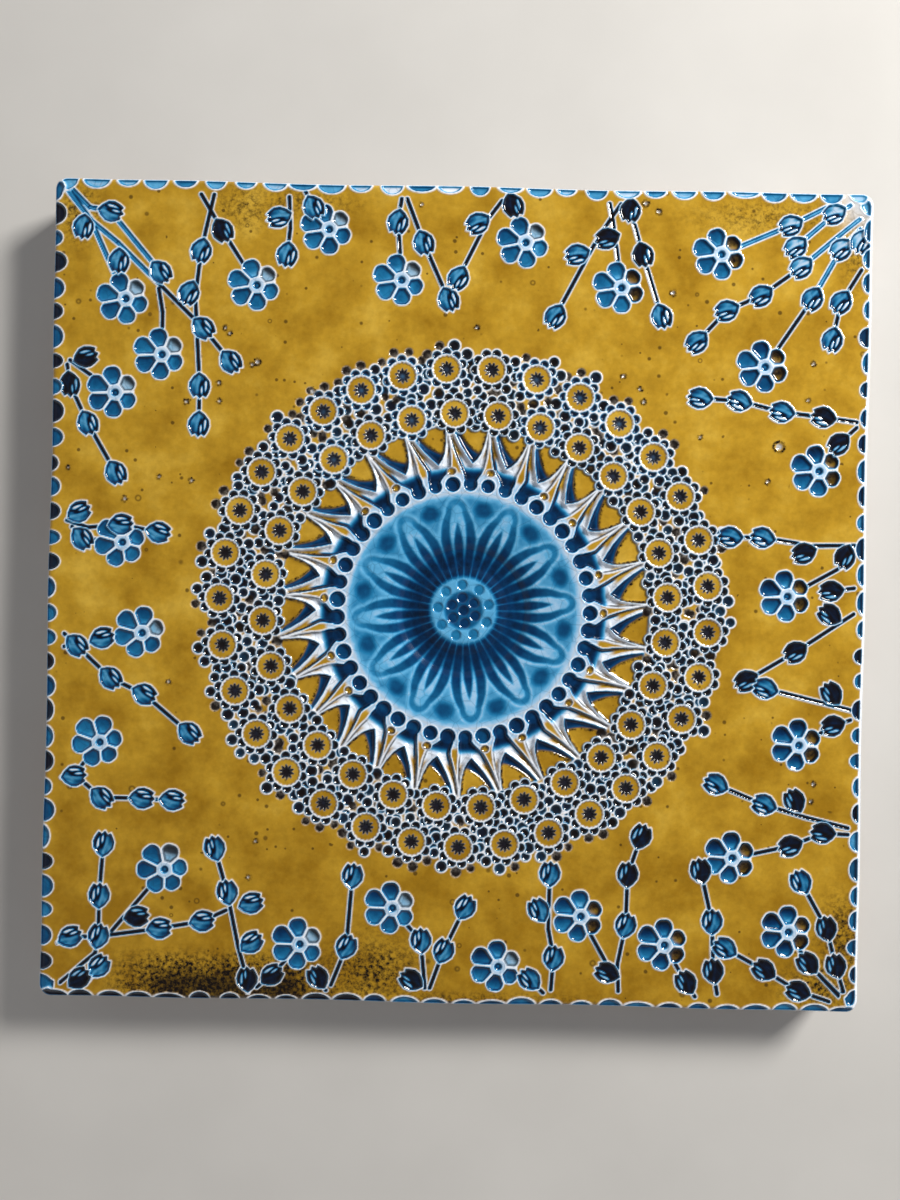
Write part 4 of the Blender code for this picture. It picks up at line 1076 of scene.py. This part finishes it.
# White glaze over cut clay: glossy where the glaze ran, and matt and buff where it stopped.
runs, tree, shader = new_material("white_glaze_runs_over_cut_clay")
where = node(tree, "TexCoord", {}, "Object")
up = node(tree, "SeparateXYZ", {"Vector": where}, "Z")
stretched = node(tree, "VectorMath", {0: where, 1: (1.0, 1.0, 0.35)}, operation="MULTIPLY")
run = node(tree, "TexNoise", {"Vector": stretched, "Scale": PER_MM / 8.0, "Detail": 2.0})
run = node(tree, "MapRange", {"Value": run, 1: 0.3, 2: 0.7, 3: -1.3 * MM, 4: 1.3 * MM})
run = node(tree, "Math", {0: up, 1: run}, operation="ADD")
glazed = node(tree, "MapRange", {"Value": run, 1: 3.2 * MM, 2: 4.0 * MM})
grog = node(tree, "TexNoise", {"Vector": where, "Scale": PER_MM / 0.9, "Detail": 5.0})
clay = node(tree, "ValToRGB", {"Fac": grog}, stops=((0.30, "#A9744F"), (0.70, "#CFA480")))
tint = node(tree, "TexNoise", {"Vector": stretched, "Scale": PER_MM / 3.0, "Detail": 2.0})
white = node(tree, "ValToRGB", {"Fac": tint}, stops=((0.35, "#B9CFE2"), (0.60, "#EEF1F5")))
colour = node(tree, "Mix", {0: glazed, 6: clay, 7: white}, 2, data_type="RGBA")
tree.links.new(colour, shader.inputs["Base Color"])
rough = node(tree, "MapRange", {"Value": glazed, 3: 0.85, 4: 0.15})
tree.links.new(rough, shader.inputs["Roughness"])
shader.inputs["IOR"].default_value = GLAZE_IOR
bump = node(tree, "Bump", {"Height": run, "Distance": 1.0, "Strength": 0.15})
tree.links.new(bump, shader.inputs["Normal"])
sides.data.materials.append(runs)
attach(sides, "root")
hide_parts("tile")

# The back. Bare fired clay, flat, with the faint print of the cloth that the slab was
# rolled on. It is hidden in the photograph, and is one flat face.
back = make_mesh("bisque_back", [np.arange(around_rim)[::-1][None]], bottom)

# Bisque earthenware: porous and matt, buff to pink, with darker grains of grog. The cloth's
# print is drawn at 1.5 mm, twice as coarse as it is.
THREAD_SPACING = 1.5
WAVE_REPEAT = 0.314  # a wave texture repeats at this length when its scale is 1
bisque, tree, shader = new_material("bare_bisque_earthenware")
where = node(tree, "TexCoord", {}, "Object")
cloud = node(tree, "TexNoise", {"Vector": where, "Scale": PER_MM / 18.0, "Detail": 5.0})
clay = node(tree, "ValToRGB", {"Fac": cloud}, stops=((0.30, "#B07C59"), (0.70, "#CDA383")))
grog = node(tree, "TexNoise", {"Vector": where, "Scale": PER_MM / 0.9, "Detail": 5.0})
grog = node(tree, "ValToRGB", {"Fac": grog}, stops=((0.34, "#9A8578"), (0.52, "#FFFFFF")))
clay = {0: 0.7, 6: clay, 7: grog}
clay = node(tree, "Mix", clay, 2, data_type="RGBA", blend_type="MULTIPLY")
tree.links.new(clay, shader.inputs["Base Color"])
shader.inputs["Roughness"].default_value = 0.9
threads = {"Vector": where, "Scale": WAVE_REPEAT * PER_MM / THREAD_SPACING}
warp = node(tree, "TexWave", threads, "Fac", bands_direction="X")
weft = node(tree, "TexWave", threads, "Fac", bands_direction="Y")
weave = node(tree, "Math", {0: warp, 1: weft}, operation="MULTIPLY")
relief = node(tree, "Math", {0: weave, 1: 0.5, 2: cloud}, operation="MULTIPLY_ADD")
bump = node(tree, "Bump", {"Height": relief, "Distance": 0.15 * MM, "Strength": 0.8})
tree.links.new(bump, shader.inputs["Normal"])
back.data.materials.append(bisque)
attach(back, "root")
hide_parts("tile")

# The stage: a sheet of pale paper under the tile, which isn't part of it.
FLOOR_HALF = 0.8
BELOW_TILE = 0.2 * MM  # so that the floor and the back don't touch
floor_mesh = bpy.data.meshes.new("floor")
corners = [(x * FLOOR_HALF, y * FLOOR_HALF, 0.0) for x, y in ((-1, -1), (1, -1), (1, 1), (-1, 1))]
floor_mesh.from_pydata(corners, [], [(0, 1, 2, 3)])
floor = add_object("floor", floor_mesh)
floor.location.z = -BELOW_TILE
floor_paper, tree, shader = new_material("pale_paper")
where = node(tree, "TexCoord", {}, "Object")
fibre = node(tree, "TexNoise", {"Vector": where, "Scale": PER_MM / 30.0, "Detail": 6.0})
paper = node(tree, "ValToRGB", {"Fac": fibre}, stops=((0.30, "#C6C3BF"), (0.70, "#CCC9C5")))
tree.links.new(paper, shader.inputs["Base Color"])
shader.inputs["Roughness"].default_value = 0.8
floor_mesh.materials.append(floor_paper)


def soft_light(name, size, energy, spot, colour):
    """A panel of light that faces the tile; sizes and places in metres, energy in watts."""
    light = bpy.data.lights.new(name, "AREA")
    light.shape = "RECTANGLE"
    light.size, light.size_y = size
    light.energy = energy
    light.color = linear(colour)[:3]
    lamp = add_object(name, light)
    lamp.location = spot
    lamp.rotation_euler = (-Vector(spot)).to_track_quat("-Z", "Y").to_euler()
    return lamp


soft_light("window", (0.18, 0.14), 5.8, (0.42, 0.34, 0.34), "#FFFDF8")
fill = soft_light("fill", (0.5, 0.5), 0.7, (-0.45, -0.35, 0.55), "#FFEEDC")
fill.visible_glossy = False

# The room: bright walls and a dim ceiling, so that the flat glaze keeps its own colour.
world = bpy.data.worlds.new("room")
bpy.context.scene.world = world
world.use_nodes = True
tree = world.node_tree
heading = node(tree, "TexCoord", {}, "Generated")
up = node(tree, "SeparateXYZ", {"Vector": heading}, "Z")
wall_light = node(tree, "MapRange", {"Value": up, 1: 0.25, 2: 0.85, 3: 0.62, 4: 0.10})
tree.nodes["Background"].inputs["Color"].default_value = linear("#E6ECF4")
tree.links.new(wall_light, tree.nodes["Background"].inputs["Strength"])

# The camera stands straight above the tile, turned by about a degree, as a phone held
# over a table does.
CAMERA_X = -1.2
CAMERA_Y = -1.0
CAMERA_ABOVE_FACE = 158.7
CAMERA_TURN = 1.2
LENS = 26.1
SENSOR = 36.0
camera_data = bpy.data.cameras.new("camera")
camera_data.sensor_fit = "VERTICAL"
camera_data.sensor_height = SENSOR
camera_data.lens = LENS
camera = add_object("camera", camera_data)
camera.location = (CAMERA_X * MM, CAMERA_Y * MM, (FACE_LEVEL + CAMERA_ABOVE_FACE) * MM)
camera.rotation_euler = (0.0, 0.0, math.radians(CAMERA_TURN))
bpy.context.scene.camera = camera
bpy.context.scene.view_settings.view_transform = "Standard"
